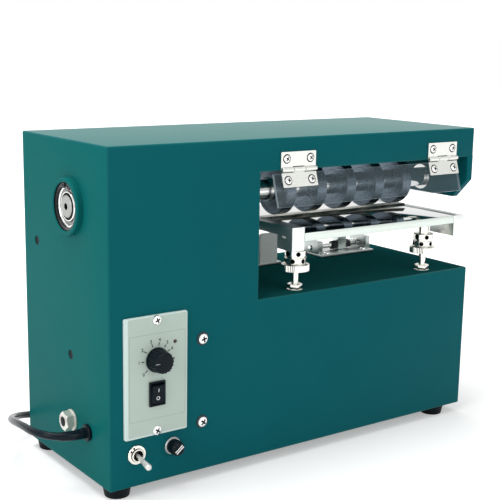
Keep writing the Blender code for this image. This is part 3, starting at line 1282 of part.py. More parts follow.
def make_panel():
    """The panel plate with its knob, lamp and rocker, and the controller behind it."""
    opening_width = ROCKER_FRAME_WIDTH / 2 - ROCKER_FRAME_LIP
    opening_height = ROCKER_FRAME_HEIGHT / 2 - ROCKER_FRAME_LIP
    sleeve_width = opening_width + ROCKER_SLEEVE_WALL
    sleeve_height = opening_height + ROCKER_SLEEVE_WALL

    def about_rocker(width, height):
        return rectangle((PANEL_X - width, ROCKER_Z - height), (PANEL_X + width, ROCKER_Z + height))

    lamp = (PANEL_X + LED_X, PANEL_LOW_Z + LED_HEIGHT)
    panel = box_piece("control_panel", (PANEL_LEFT, PANEL_FRONT, PANEL_LOW_Z),
                      (PANEL_LEFT + PANEL_WIDTH, -FIT, PANEL_LOW_Z + PANEL_HEIGHT),
                      "panel_plastic", MACHINE, PANEL_EDGE)
    window, window_middle = spans(
        (PANEL_X - sleeve_width - FIT, PANEL_FRONT - OVERRUN, ROCKER_Z - sleeve_height - FIT),
        (PANEL_X + sleeve_width + FIT, OVERRUN, ROCKER_Z + sleeve_height + FIT),
    )
    through = PANEL_THICKNESS * 4
    boolean(panel, together([
        copies(block(window), [window_middle]),
        copies(rod(KNOB_STEM_RADIUS + RUNNING, through, SMALL), [(PANEL_X, 0, KNOB_Z)], FACING_FRONT),
        copies(rod(LED_RADIUS + FIT, through, TINY), [(lamp[0], 0, lamp[1])], FACING_FRONT),
    ]), MACHINE, (0, 0, 0))
    add_screws(panel, PANEL_SCREW, panel_screw_places(), FACING_FRONT)

    half_width = CONTROLLER_WIDTH / 2
    half_height = CONTROLLER_HEIGHT / 2
    body = box_piece("speed_controller", (PANEL_X - half_width, 0, PANEL_Z - half_height),
                     (PANEL_X + half_width, CONTROLLER_DEPTH, PANEL_Z + half_height),
                     "black_plastic", MACHINE, CONTROLLER_EDGE)
    pocket_size, pocket_middle = spans(
        (PANEL_X - sleeve_width - FIT, -OVERRUN, ROCKER_Z - sleeve_height - FIT),
        (PANEL_X + sleeve_width + FIT, CONTROLLER_RECESS, ROCKER_Z + sleeve_height + FIT),
    )
    boolean(body, together([
        copies(block(pocket_size), [pocket_middle]),
        copies(rod(KNOB_STEM_RADIUS + RUNNING, KNOB_STEM_BORE_DEPTH * 2, SMALL),
               [(PANEL_X, 0, KNOB_Z)], FACING_FRONT),
        copies(rod(LED_RADIUS + FIT, LED_LEG_LENGTH * 2, TINY), [(lamp[0], 0, lamp[1])], FACING_FRONT),
    ]), MACHINE, (0, 0, 0))

    leg = PANEL_THICKNESS + LED_LEG_LENGTH / 2
    lens = [
        (0, LED_REACH), (LED_RADIUS * PAN_SHOULDER_SHARE, LED_REACH * PAN_CROWN_SHARE),
        (LED_RADIUS, 0), (LED_RADIUS, -leg), (0, -leg),
    ]
    piece("status_led", turned(lens, TINY), "led_lens", MACHINE,
          (lamp[0], PANEL_FRONT, lamp[1]), FACING_FRONT)

    frame = flat(about_rocker(ROCKER_FRAME_WIDTH / 2, ROCKER_FRAME_HEIGHT / 2), ROCKER_FRAME_REACH,
                 [about_rocker(opening_width, opening_height)])
    rocker_frame = piece("rocker_frame", frame, "black_plastic", MACHINE,
                         (0, ROCKER_FRONT + ROCKER_FRAME_REACH / 2, 0), FACING_FRONT)
    sleeve_depth = ROCKER_SLEEVE_DEPTH + ROCKER_FRAME_REACH / 2
    sleeve = flat(about_rocker(sleeve_width, sleeve_height), sleeve_depth,
                  [about_rocker(opening_width, opening_height)])
    boolean(rocker_frame, sleeve, MACHINE, (0, ROCKER_FRONT + (ROCKER_FRAME_REACH + sleeve_depth) / 2, 0),
            FACING_FRONT, "UNION")

    half = ROCKER_HALF_HEIGHT
    button = [
        (-ROCKER_CENTRE_RISE, 0), (-ROCKER_RISE, -half), (ROCKER_BACK, -half), (ROCKER_BACK, half),
        (-ROCKER_RISE, half),
    ]
    piece("rocker_button", flat(button, opening_width * 2 - FIT * 2), "black_plastic", ROCKER,
          (PANEL_X, ROCKER_PIVOT_Y, ROCKER_Z), SIDE_ON)

    low = PANEL_FRONT - RUNNING
    ribbed = flat(toothed(KNOB_RADIUS, KNOB_RIB, KNOB_RIBS), KNOB_LENGTH)
    body = tapered(ribbed, KNOB_TOP_RADIUS / KNOB_RADIUS)
    knob = piece("speed_knob", body, "black_plastic", MACHINE,
                 (PANEL_X, low - KNOB_LENGTH / 2, KNOB_Z), FACING_FRONT,
                 edge=KNOB_EDGE / 2)
    stem = KNOB_STEM_LENGTH + KNOB_LENGTH / 2
    boolean(knob, rod(KNOB_STEM_RADIUS, stem, SMALL), MACHINE,
            (PANEL_X, low - KNOB_LENGTH / 2 + stem / 2, KNOB_Z), FACING_FRONT, "UNION")
    face = low - KNOB_LENGTH
    half = KNOB_POINTER_WIDTH / 2
    cut_box(knob, (PANEL_X - KNOB_RADIUS, face - OVERRUN, KNOB_Z - half),
            (PANEL_X - KNOB_RADIUS / 2, face + KNOB_POINTER_DEPTH, KNOB_Z + half), MACHINE)


def make_switches():
    """The toggle switch and the fuse holder, each clamped through the front."""
    mouth_bottom = TOGGLE_REACH - TOGGLE_MOUTH_DEPTH
    nut_front = TOGGLE_NUT_THICKNESS + FIT
    bush = [
        (0, mouth_bottom), (TOGGLE_MOUTH_BOTTOM, mouth_bottom), (TOGGLE_MOUTH_RADIUS, TOGGLE_REACH),
        (TOGGLE_THREAD_RADIUS, TOGGLE_REACH), (TOGGLE_THREAD_RADIUS, nut_front),
        (TOGGLE_NUT_RADIUS, nut_front), (TOGGLE_NUT_RADIUS, FIT), (TOGGLE_THREAD_RADIUS, FIT),
        (TOGGLE_THREAD_RADIUS, -SHEET - OVERRUN - OVERRUN), (0, -SHEET - OVERRUN - OVERRUN),
    ]
    switch = piece("toggle_switch_body", turned(bush), "nickel", MACHINE,
                   (TOGGLE_X, 0, TOGGLE_Z), FACING_FRONT)
    half_width = TOGGLE_BODY_WIDTH / 2
    half_height = TOGGLE_BODY_HEIGHT / 2
    back = SHEET + FIT
    size, middle = spans((TOGGLE_X - half_width, back, TOGGLE_Z - half_height),
                         (TOGGLE_X + half_width, back + TOGGLE_BODY_DEPTH, TOGGLE_Z + half_height))
    boolean(switch, block(size), MACHINE, middle, operation="UNION")

    waist = TOGGLE_LEVER_LENGTH - TOGGLE_TIP_LENGTH
    tip = TOGGLE_LEVER_LENGTH
    lever = [
        (0, tip), (TOGGLE_TIP_RADIUS * PAN_SHOULDER_SHARE, tip - TOGGLE_TIP_RADIUS * (1 - PAN_CROWN_SHARE)),
        (TOGGLE_TIP_RADIUS, tip - TOGGLE_TIP_RADIUS), (TOGGLE_LEVER_RADIUS, waist),
        (TOGGLE_LEVER_RADIUS, 0), (TOGGLE_LEVER_RADIUS * PAN_SHOULDER_SHARE, -TOGGLE_LEVER_RADIUS),
        (0, -TOGGLE_LEVER_RADIUS),
    ]
    piece("toggle_lever", turned(lever, SMALL), "polished_steel", MACHINE,
          (TOGGLE_X, TOGGLE_PIVOT_Y, TOGGLE_Z),
          (math.radians(90 + TOGGLE_REST_DEGREES), 0, 0))

    flange = FUSE_FLANGE_THICKNESS + FIT
    bore = FUSE_STEM_RADIUS + RUNNING
    floor = flange - FUSE_STEM_LENGTH - OVERRUN
    holder = [
        (0, floor), (bore, floor), (bore, flange), (FUSE_FLANGE_RADIUS - FUSE_CAP_EDGE, flange),
        (FUSE_FLANGE_RADIUS, flange - FUSE_CAP_EDGE), (FUSE_FLANGE_RADIUS, FIT),
        (FUSE_BARREL_RADIUS, FIT), (FUSE_BARREL_RADIUS, -FUSE_BARREL_LENGTH), (0, -FUSE_BARREL_LENGTH),
    ]
    piece("fuse_holder", turned(holder), "nickel", MACHINE, (FUSE_X, 0, FUSE_Z), FACING_FRONT)
    foot = flange + RUNNING
    top = foot + FUSE_CAP_LENGTH
    cap = [
        (0, top), (FUSE_CAP_RADIUS - FUSE_CAP_EDGE, top), (FUSE_CAP_RADIUS, top - FUSE_CAP_EDGE),
        (FUSE_CAP_RADIUS, foot), (FUSE_STEM_RADIUS, foot), (FUSE_STEM_RADIUS, foot - FUSE_STEM_LENGTH),
        (0, foot - FUSE_STEM_LENGTH),
    ]
    cap_piece = piece("fuse_cap", turned(cap), "black_plastic", MACHINE, (FUSE_X, 0, FUSE_Z), FACING_FRONT)
    half = FUSE_SLOT_WIDTH / 2
    reach = FUSE_CAP_RADIUS + OVERRUN
    cut_box(cap_piece, (FUSE_X - reach, -top - OVERRUN, FUSE_Z - half),
            (FUSE_X + reach, -top + FUSE_SLOT_DEPTH, FUSE_Z + half), MACHINE)


def make_side_fittings():
    """The clamp bolt and the cord's bushing on the left side."""
    seat = FIT + SIDE_BOLT_WASHER
    washer = [
        (SIDE_BOLT_WASHER_RADIUS, seat), (SIDE_BOLT_WASHER_RADIUS, FIT), (SIDE_BOLT_SHANK_RADIUS, FIT),
        (SIDE_BOLT_SHANK_RADIUS, -SIDE_BOLT_SHANK_LENGTH), (0, -SIDE_BOLT_SHANK_LENGTH),
    ]
    at = (0, SIDE_BOLT_Y, FOOT_HEIGHT + SIDE_BOLT_HEIGHT)
    bolt = piece("side_bolt", turned([(0, seat), *washer]), "zinc_steel", MACHINE, at, FACING_LEFT)
    head = SIDE_BOLT_HEAD + SIDE_BOLT_WASHER / 2
    boolean(bolt, hex_prism(SIDE_BOLT_WIDTH, head), MACHINE,
            (-seat - SIDE_BOLT_HEAD + head / 2, at[1], at[2]), FACING_LEFT, "UNION")

    nose = FIT + BUSHING_FLANGE + BUSHING_NOSE
    flange = FIT + BUSHING_FLANGE
    bore = CORD_RADIUS + FIT
    bushing = [
        (BUSHING_NOSE_RADIUS, nose), (BUSHING_NOSE_RADIUS, flange), (BUSHING_FLANGE_RADIUS, flange),
        (BUSHING_FLANGE_RADIUS, FIT), (BUSHING_BARREL_RADIUS, FIT),
        (BUSHING_BARREL_RADIUS, -BUSHING_BARREL_LENGTH), (bore, -BUSHING_BARREL_LENGTH), (bore, nose),
    ]
    piece("cord_bushing", turned(bushing, SMALL, closed=True), "black_plastic", MACHINE,
          (0, BUSHING_Y, BUSHING_Z), FACING_LEFT)


def make_cord():
    """The free cord from the bushing round the back, its coil on the floor behind, and the plug."""
    piece("mains_cord", tube(smooth_points(CORD_ROUTE, CORD_POINT_SPACING), CORD_RADIUS, 2),
          "black_rubber", MACHINE, (0, 0, 0))

    rise_turns = COIL_POINTS_PER_RISE / COIL_POINTS
    total = COIL_TURNS_PER_LAYER * COIL_LAYERS + rise_turns
    low_z = CORD_REST_Z
    high_z = low_z + COIL_LAYER_RISE
    inner = COIL_OUTER_RADIUS - (COIL_TURNS_PER_LAYER + rise_turns) * COIL_STEP
    points = [(COIL_X - CORD_RADIUS * 2, COIL_FRONT_Y, low_z)]
    for step in range(round(total * COIL_POINTS) + 1):
        turns = step / COIL_POINTS
        past = turns - COIL_TURNS_PER_LAYER
        if past < rise_turns:
            radius = COIL_OUTER_RADIUS - turns * COIL_STEP
        else:
            radius = inner + (past - rise_turns) * COIL_STEP
        share = min(max(past / rise_turns, 0), 1)
        angle = math.tau * turns - math.pi / 2
        points.append((
            COIL_X + radius * math.cos(angle), COIL_Y + radius * math.sin(angle),
            low_z + (high_z - low_z) * share * share * (3 - 2 * share),
        ))
    end_x, end_y, end_z = points[-1]
    plug_z = PLUG_BODY_HEIGHT / 2 + FIT
    points.append((end_x - COIL_TAIL / 2, end_y, (end_z + plug_z) / 2))
    points.append((end_x - COIL_TAIL, end_y, plug_z))
    piece("cord_coil", tube(points, CORD_RADIUS, 2), "black_rubber", MACHINE, (0, 0, 0))

    relief = end_x - COIL_TAIL - FIT
    body = relief - PLUG_RELIEF_LENGTH
    half = PLUG_BODY_WIDTH / 2
    plug = box_piece("mains_plug", (body - PLUG_BODY_LENGTH, end_y - half, FIT),
                     (body, end_y + half, PLUG_BODY_HEIGHT + FIT), "black_rubber", MACHINE, PLUG_EDGE)
    cone = turned([
        (0, relief), (PLUG_RELIEF_RADIUS, relief), (PLUG_RELIEF_RADIUS + PLUG_EDGE / 2, body - PLUG_EDGE),
        (0, body - PLUG_EDGE),
    ], SMALL)
    boolean(plug, cone, MACHINE, (0, end_y, plug_z), FACING_RIGHT, "UNION")
    half = PLUG_PIN_SPACING / 2
    front = body - PLUG_BODY_LENGTH
    pin_length = PLUG_PIN_LENGTH + PLUG_EDGE
    middle = front - PLUG_PIN_LENGTH + pin_length / 2
    pins = copies(rod(PLUG_PIN_RADIUS, pin_length, TINY),
                  [(middle, end_y - half, plug_z), (middle, end_y + half, plug_z)], FACING_RIGHT)
    boolean(plug, pins, MACHINE, (0, 0, 0), operation="UNION")


ARBOR = new_frame("arbor", (0, ARBOR_Y, ARBOR_Z), MACHINE)
SPINDLE = new_frame("spindle", (0, ARBOR_Y, SPINDLE_Z), MACHINE)
GUARD = new_frame("guard", (0, HINGE_Y, HINGE_Z), MACHINE, (-math.radians(GUARD_REST_DEGREES), 0, 0))
TABLE = new_frame("table", (0, PIVOT_Y, PIVOT_Z), MACHINE)
ROCKER = new_frame("rocker", (PANEL_X, ROCKER_PIVOT_Y, ROCKER_Z), MACHINE,
                   (math.radians(ROCKER_REST_DEGREES), 0, 0))

make_front_sheet()
make_rear_cover()
make_left_side()
make_plain_sheets()
make_end_plate()
make_feet()
make_boss_and_bearings()
make_arbor()
make_belt_drive()
make_motor()
make_table()
for jack_name, jack_x in zip(("jack_screw_left", "jack_screw_right"), jack_places()):
    make_jack(jack_name, jack_x)
make_pivots()
make_hinges()
make_guard()
make_panel()
make_switches()
make_side_fittings()
make_cord()
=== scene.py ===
"""Looks for the leather skiving machine. Each form is drawn in millimetres in the machine's own places,
X from its left side, Y back from its front and Z up from the floor, and is then settled in the row frame."""

import math

import bmesh
import bpy
from mathutils import Matrix, Vector


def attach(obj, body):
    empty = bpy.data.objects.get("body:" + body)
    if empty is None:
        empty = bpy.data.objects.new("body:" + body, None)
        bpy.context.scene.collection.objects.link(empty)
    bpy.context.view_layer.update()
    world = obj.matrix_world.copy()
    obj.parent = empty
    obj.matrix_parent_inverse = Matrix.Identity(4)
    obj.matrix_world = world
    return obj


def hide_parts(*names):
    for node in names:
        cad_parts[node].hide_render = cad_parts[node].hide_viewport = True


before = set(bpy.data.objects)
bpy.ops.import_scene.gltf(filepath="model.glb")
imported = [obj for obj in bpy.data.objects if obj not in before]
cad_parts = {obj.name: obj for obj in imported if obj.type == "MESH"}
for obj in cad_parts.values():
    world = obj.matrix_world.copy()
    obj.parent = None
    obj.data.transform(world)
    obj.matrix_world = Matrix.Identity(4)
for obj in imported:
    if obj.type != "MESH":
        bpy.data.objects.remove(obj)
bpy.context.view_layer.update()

TO_ROW = Matrix.Scale(0.001, 4) @ Matrix.Translation((-211.4, -70.938, 0))
HEADINGS = {
    "up": Matrix.Identity(4),
    "front": Matrix.Rotation(math.radians(90), 4, "X"),
    "back": Matrix.Rotation(math.radians(-90), 4, "X"),
    "left": Matrix.Rotation(math.radians(-90), 4, "Y"),
    "right": Matrix.Rotation(math.radians(90), 4, "Y"),
}
BODY_WIDTH = 432
BODY_DEPTH = 164
BODY_FOOT = 10
BODY_TOP = 310
TOWER_RIGHT = 156
SHEET = 2.5
COVER_GAP = 0.4
ARBOR = (68.0, 252.0)
SHELF = 162.0
BEAM = 280.0
DISC_COUNT = 5
FIRST_DISC = 226
DISC_STEP = 38.7
TABLE_TOP = 221.7
TABLE_UNDER = 213.7
TABLE_SPAN = (200.8, 397.7)
PANEL_FRONT = -3.0
KNOB = (45.2, 124.0)
ROCKER = (45.2, 93.5)
TOGGLE = (25.8, 40.2)
FUSE = (63.0, 40.5)
HINGE_LEFTS = (177.2, 364.2)
HINGE_AXIS = (-2.9, 280.8)
LEAF_WIDTH = 40.5
LEAF_HEIGHT = 16.2
LEAF_SCREWS = (6.5, 34)
LEAF_SCREW_DROP = 9.8
GUARD_REST_DEGREES = -17
MOUNT_SCREWS = ((94.5, 134.6), (94.5, 56.6))
SIDE_HOLES = ((137.7, 210.4), (71.8, 116.7))
SIDE_BOLT = (69.7, 55.7)
CORD_EXIT = (39.1, 53.3)
SIDE_HOLE_RADIUS = 4.4
LAMP_PLACE = (64, 137.6)
DIAL_DEGREES = (222, 181, 144, 109, 80, 52, 27, -8, -42)
PAN_CROWN = ((0, 1), (0.45, 0.97), (0.74, 0.82), (0.93, 0.55), (1, 0.2), (1, 0))
CROSS_REACH = 0.58
CROSS_HALF_WIDTH = 0.16
CROSS_FLOOR = 0.35
PIVOT_AXIS = (136, 170.3)
JACK_BACK = 16
CAMERA_STAND = (-406.5, -756.1, 397.2)
CAMERA_TURN_DIP_ROLL = (35.441, 11.640, 0.891)
CAMERA_LENS = 75.92
CAMERA_SHIFT = (0.0246, 0.0114)
FLOOR_GLOW = (0.33, 0.95)
FLOOR_GLOW_REACH = (0.3, 1.6)
ROOM_LIGHT = 0.48


# Tools of the bench

def placed(form, matrix):
    bmesh.ops.transform(form, verts=form.verts, matrix=matrix)
    return form


def outward(form):
    bmesh.ops.recalc_face_normals(form, faces=form.faces)
    return form


def closed(form):
    """Merges the vertices that lie on one another."""
    bmesh.ops.remove_doubles(form, verts=form.verts, dist=0.001)
    return form


def meshed(form, name="form"):
    """A form's mesh, in place of the form."""
    mesh = bpy.data.meshes.new(name)
    form.to_mesh(mesh)
    form.free()
    return mesh


def set_out(name, data):
    """A new object in the scene."""
    made = bpy.data.objects.new(name, data)
    bpy.context.scene.collection.objects.link(made)
    return made


def merged(*forms):
    """One form of several."""
    whole = bmesh.new()
    for form in forms:
        mesh = meshed(form)
        whole.from_mesh(mesh)
        bpy.data.meshes.remove(mesh)
    return whole


def repeated(form, matrices):
    """A form at each of several places."""
    mesh = meshed(form)
    whole = bmesh.new()
    for matrix in matrices:
        one = bmesh.new()
        one.from_mesh(mesh)
        placed(one, matrix)
        whole = merged(whole, one)
    bpy.data.meshes.remove(mesh)
    return whole


def turned(profile, at=(0, 0, 0), heading="up", steps=64):
    """A profile of radius and height, spun about its heading."""
    form = bmesh.new()
    points = [form.verts.new((radius, 0, height)) for radius, height in profile]
    edges = [form.edges.new(pair) for pair in zip(points, points[1:])]
    bmesh.ops.spin(
        form, geom=[*points, *edges], cent=(0, 0, 0), axis=(0, 0, 1), angle=math.tau, steps=steps,
        use_merge=True, use_duplicate=False,
    )
    return placed(outward(closed(form)), Matrix.Translation(at) @ HEADINGS[heading])


def ring(outer, inner, low, high, at=(0, 0, 0), heading="up", steps=64):
    wall = [(outer, high), (outer, low), (inner, low), (inner, high), (outer, high)]
    return turned(wall, at, heading, steps)


def rod(radius, low, high, at=(0, 0, 0), heading="up", steps=48):
    return turned([(0, high), (radius, high), (radius, low), (0, low)], at, heading, steps)


def block(low, high):
    low, high = Vector(low), Vector(high)
    form = bmesh.new()
    size = Matrix.Diagonal((*(high - low), 1))
    bmesh.ops.create_cube(form, size=1, matrix=Matrix.Translation((low + high) / 2) @ size)
    return form


def plate(outline, low, high, facing="front"):
    """An outline seen from the front, the side or above, thickened between two planes."""
    form = bmesh.new()
    spots = {
        "front": lambda a, b: (a, low, b),
        "side": lambda a, b: (low, a, b),
        "above": lambda a, b: (a, b, low),
    }
    ways = {"front": (0, 1, 0), "side": (1, 0, 0), "above": (0, 0, 1)}
    face = form.faces.new([form.verts.new(spots[facing](*point)) for point in outline])
    made = bmesh.ops.extrude_face_region(form, geom=[face])["geom"]
    moved = [item for item in made if isinstance(item, bmesh.types.BMVert)]
    bmesh.ops.translate(form, verts=moved, vec=Vector(ways[facing]) * (high - low))
    return outward(form)


def hexagon(across, low, high, at=(0, 0, 0), heading="up", turn=0):
    """A hexagonal bar, made to its width across the flats."""
    corner = across / 2 / math.cos(math.radians(30))
    outline = arc((0, 0), corner, turn, turn + 360, 6)[:-1]
    return placed(plate(outline, low, high, "above"), Matrix.Translation(at) @ HEADINGS[heading])


def round_spot(centre, radius, degrees):
    """A place on a circle."""
    angle = math.radians(degrees)
    return centre[0] + radius * math.cos(angle), centre[1] + radius * math.sin(angle)


def arc(centre, radius, start, stop, steps):
    return [round_spot(centre, radius, start + (stop - start) * step / steps) for step in range(steps + 1)]


def fluted(reach, depth, flutes, steps):
    """A round outline with shallow flutes."""
    turns = [360 * step / steps for step in range(steps)]
    return [round_spot((0, 0), reach + depth * math.cos(flutes * math.radians(turn)), turn) for turn in turns]


def rectangle(low, high, corner=0):
    """A rectangle's outline, with its corners rounded where asked."""
    if not corner:
        return [low, (high[0], low[1]), high, (low[0], high[1])]
    spots = (
        ((high[0] - corner, high[1] - corner), 0), ((low[0] + corner, high[1] - corner), 90),
        ((low[0] + corner, low[1] + corner), 180), ((high[0] - corner, low[1] + corner), 270),
    )
    return [point for centre, start in spots for point in arc(centre, corner, start, start + 90, 5)]


def softened(form, width, segments=3, keep=lambda edge: True):
    """Rounds the sharp edges of a form."""
    sharp = [
        edge for edge in form.edges
        if len(edge.link_faces) == 2 and edge.calc_face_angle() > math.radians(30) and keep(edge)
    ]
    bmesh.ops.bevel(
        form, geom=sharp, offset=width, affect="EDGES", segments=segments, profile=0.5, material=-1,
        clamp_overlap=True,
    )
    return form


def carved(form, *cutters):
    """A form with other forms cut out of it."""
    pair = [set_out("form", meshed(shape)) for shape in (form, merged(*cutters))]
    cut = pair[0].modifiers.new("cut", "BOOLEAN")
    cut.operation = "DIFFERENCE"
    cut.object = pair[1]
    return baked(pair)


def baked(sources):
    """The finished mesh of the first of some objects, which are then removed."""
    graph = bpy.context.evaluated_depsgraph_get()
    mesh = bpy.data.meshes.new_from_object(sources[0].evaluated_get(graph))
    form = bmesh.new()
    form.from_mesh(mesh)
    bpy.data.meshes.remove(mesh)
    for source in sources:
        bpy.data.objects.remove(source, do_unlink=True)
    return form


def wire(points, radius, radii=(), sides=3):
    """A round wire along some points."""
    curve = bpy.data.curves.new("wire", "CURVE")
    curve.dimensions = "3D"
    curve.bevel_depth = radius
    curve.bevel_resolution = sides
    curve.use_fill_caps = True
    spline = curve.splines.new("POLY")
    spline.points.add(len(points) - 1)
    for number, place in enumerate(points):
        spline.points[number].co = (*place, 1)
        if radii:
            spline.points[number].radius = radii[number] / radius
    return outward(closed(baked([set_out("wire", curve)])))


def settle(name, form, finish, slot, body, *nodes, edge=0, segments=2, angle=30):
    """Moves a form to the row frame as a piece that rides on a body and stands for the named CAD nodes."""
    mesh = meshed(placed(form, TO_ROW), name)
    for one in finish if isinstance(finish, tuple) else (finish,):
        mesh.materials.append(one)
    mesh.shade_smooth()
    mesh.set_sharp_from_angle(angle=math.radians(angle))
    made = set_out(name, mesh)
    if edge:
        rounding = made.modifiers.new("rounded_edges", "BEVEL")
        rounding.width = edge / 1000
        rounding.segments = segments
        rounding.limit_method = "ANGLE"
        rounding.angle_limit = math.radians(angle)
        rounding.harden_normals = False
    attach(made, body)
    if nodes:
        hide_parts(*nodes)
    return made


def marked(form, index, test):
    """Gives the faces that pass a test another of the piece's finishes."""
    for face in form.faces:
        if test(face):
            face.material_index = index
    return form


def middle(face):
    return face.calc_center_median()


def apart(face, **line):
    """How far a face's middle is from a line, which is given by its two places across its length."""
    spot = middle(face)
    return math.hypot(*(spot["xyz".index(way)] - place for way, place in line.items()))


def pan_screw(radius, height, shank=1.8, length=4.0):
    """A pan head with a cross recess, on its shank."""
    head = turned([
        *((radius * out, height * up) for out, up in PAN_CROWN), (shank, 0), (shank, -length), (0, -length),
    ], steps=40)
    arm, half = radius * CROSS_REACH, radius * CROSS_HALF_WIDTH
    cross = []
    for quarter in range(4):
        turn = math.radians(90 * quarter)
        for along, across in ((half, half), (arm, half), (arm, -half)):
            cross.append((along * math.cos(turn) + across * math.sin(turn),
                          across * math.cos(turn) - along * math.sin(turn)))
    floor = height * CROSS_FLOOR
    head = carved(head, plate(cross, floor, height + 1, "above"))
    # The cross recess's walls and floor take the second finish, painted shade
    return marked(head, 1, lambda face: apart(face, x=0, y=0) < arm and middle(face).z > floor - 0.01
                  and (face.normal.z < 0.1 or middle(face).z < floor + 0.01))


def at(x, y, z, heading="up", turn=0):
    """Where a form drawn about the up axis goes, turned about its own axis first."""
    return Matrix.Translation((x, y, z)) @ HEADINGS[heading] @ Matrix.Rotation(math.radians(turn), 4, "Z")


# Finishes

def finish_of(name, colour, roughness, metallic=0.0, grain=(400, 400, 400), tint=0.10, spread=0.05,
              relief=0.2, depth=0.00003, **sockets):
    """A surface with grain in its relief and gloss, and a slow drift in its colour."""
    made = bpy.data.materials.new(name)
    made.use_nodes = True
    nodes, links = made.node_tree.nodes, made.node_tree.links
    shader = nodes["Principled BSDF"]
    place = nodes.new("ShaderNodeTexCoord")
    stretch = nodes.new("ShaderNodeMapping")
    stretch.inputs["Scale"].default_value = grain
    links.new(place.outputs["Object"], stretch.inputs["Vector"])
    fine = nodes.new("ShaderNodeTexNoise")
    fine.inputs["Scale"].default_value = 1
    fine.inputs["Detail"].default_value = 4
    fine.inputs["Roughness"].default_value = 0.6
    links.new(stretch.outputs["Vector"], fine.inputs["Vector"])
    broad = nodes.new("ShaderNodeTexNoise")
    broad.inputs["Scale"].default_value = 22
    broad.inputs["Detail"].default_value = 3
    links.new(place.outputs["Object"], broad.inputs["Vector"])
    drift = nodes.new("ShaderNodeMix")
    drift.data_type = "RGBA"
    drift.inputs[6].default_value = (*(value * (1 - tint) for value in colour), 1)
    drift.inputs[7].default_value = (*(min(1, value * (1 + tint)) for value in colour), 1)
    links.new(broad.outputs[0], drift.inputs[0])
    links.new(drift.outputs[2], shader.inputs["Base Color"])
    gloss = nodes.new("ShaderNodeMapRange")
    gloss.inputs["From Min"].default_value = 0.3
    gloss.inputs["From Max"].default_value = 0.7
    gloss.inputs["To Min"].default_value = max(0.02, roughness - spread)
    gloss.inputs["To Max"].default_value = roughness + spread
    links.new(fine.outputs[0], gloss.inputs["Value"])
    links.new(gloss.outputs["Result"], shader.inputs["Roughness"])
    bump = nodes.new("ShaderNodeBump")
    bump.inputs["Strength"].default_value = relief
    bump.inputs["Distance"].default_value = depth
    links.new(fine.outputs[0], bump.inputs["Height"])
    links.new(bump.outputs["Normal"], shader.inputs["Normal"])
    shader.inputs["Metallic"].default_value = metallic
    for socket, value in sockets.items():
        shader.inputs[socket.replace("_", " ")].default_value = value
    return made


def teal_coat(name, colour, roughness, shine):
    return finish_of(name, colour, roughness, grain=(900, 900, 900), tint=0.05, Specular_IOR_Level=shine)


# One paint, in a tint for each way that its faces look: painted highlight on the folds, painted sheen on the
# top, painted light on the left side and painted shade on the shelf, where the lamps alone don't give these
# shades
TEAL = teal_coat("teal_powder_coat", (0.003, 0.107, 0.124), 0.42, 0.03)
TEAL_FOLD_LIT = teal_coat("teal_powder_coat_lit_folds", (0.004, 0.116, 0.122), 0.40, 0.06)
TEAL_TOP_LIT = teal_coat("teal_powder_coat_lit_top", (0.003, 0.112, 0.105), 0.36, 0.16)
TEAL_SIDE_LIT = teal_coat("teal_powder_coat_lit_side", (0.004, 0.128, 0.125), 0.42, 0.02)
TEAL_SHELF_SHADED = teal_coat("teal_powder_coat_shaded_shelf", (0.008, 0.080, 0.084), 0.55, 0.0)
MIRROR = finish_of("table_mirror_polish", (0.66, 0.68, 0.66), 0.05, 1.0, (700, 30, 700), 0.03, 0.02, 0.04)
TABLE_EDGE = finish_of("table_edge_brushed", (0.62, 0.68, 0.64), 0.30, 1.0, (30, 1400, 1400), 0.06, 0.08)
ARM_STEEL = finish_of("arm_satin_steel", (0.76, 0.78, 0.76), 0.34, 1.0, (1200, 60, 1200), 0.04, 0.06)
SHAFT_STEEL = finish_of("ground_shaft_steel", (0.78, 0.79, 0.77), 0.16, 1.0, (900, 60, 60), 0.04, 0.05)
HINGE_STEEL = finish_of("hinge_stainless", (0.74, 0.75, 0.71), 0.26, 1.0, (60, 900, 900), 0.04, 0.06)
SCREW_STEEL = finish_of("screw_zinc", (0.86, 0.86, 0.85), 0.20, 1.0, (700, 700, 700), 0.06, 0.06)
ZINC = finish_of("jack_zinc", (0.80, 0.79, 0.74), 0.20, 1.0, (300, 300, 900), 0.06, 0.06)
BRACKET_ZINC = finish_of("bracket_zinc", (0.50, 0.54, 0.53), 0.36, 1.0, (250, 250, 250), 0.15, 0.08)
DISC_BLACK = finish_of("disc_blued_steel", (0.120, 0.150, 0.185), 0.28, 1.0, (120, 900, 900), 0.15, 0.07)
# Near-black painted shade, for the faces of recesses, holes, grooves and bores where shade falls
PAINTED_SHADE = finish_of("painted_recess_shade", (0.008, 0.010, 0.012), 0.5, 0.0, (900, 900, 900), 0.2, 0.1,
                        Specular_IOR_Level=0.1)
RACE_STEEL = finish_of("bearing_steel", (0.80, 0.81, 0.79), 0.18, 1.0, (500, 500, 500), 0.04, 0.05)
SHIELD_GREY = finish_of("bearing_shield", (0.30, 0.31, 0.30), 0.42, 0.6, (500, 500, 500), 0.08, 0.06)
SHAFT_FACE = finish_of("turned_shaft_face", (0.38, 0.39, 0.37), 0.40, 0.4, (500, 500, 500), 0.06, 0.06)
DARK_STEEL = finish_of("dark_steel", (0.030, 0.033, 0.036), 0.30, 0.7, (500, 500, 500), 0.15, 0.08)
BLADE = finish_of("blade_steel", (0.30, 0.31, 0.25), 0.28, 1.0, (40, 1200, 1200), 0.10, 0.08)
BRASS = finish_of("nickel_brass", (0.88, 0.85, 0.77), 0.20, 1.0, (500, 500, 500), 0.06, 0.06)
CHROME = finish_of("lever_chrome", (0.78, 0.78, 0.74), 0.24, 0.45, (300, 300, 300), 0.03, 0.03)
RUBBER = finish_of("foot_rubber", (0.005, 0.008, 0.011), 0.55, grain=(1200, 1200, 1200), tint=0.2, spread=0.1,
                   Specular_IOR_Level=0.10)
CORD = finish_of("cord_jacket", (0.004, 0.010, 0.015), 0.22, grain=(800, 800, 800), tint=0.15, spread=0.05,
                 Specular_IOR_Level=0.12)
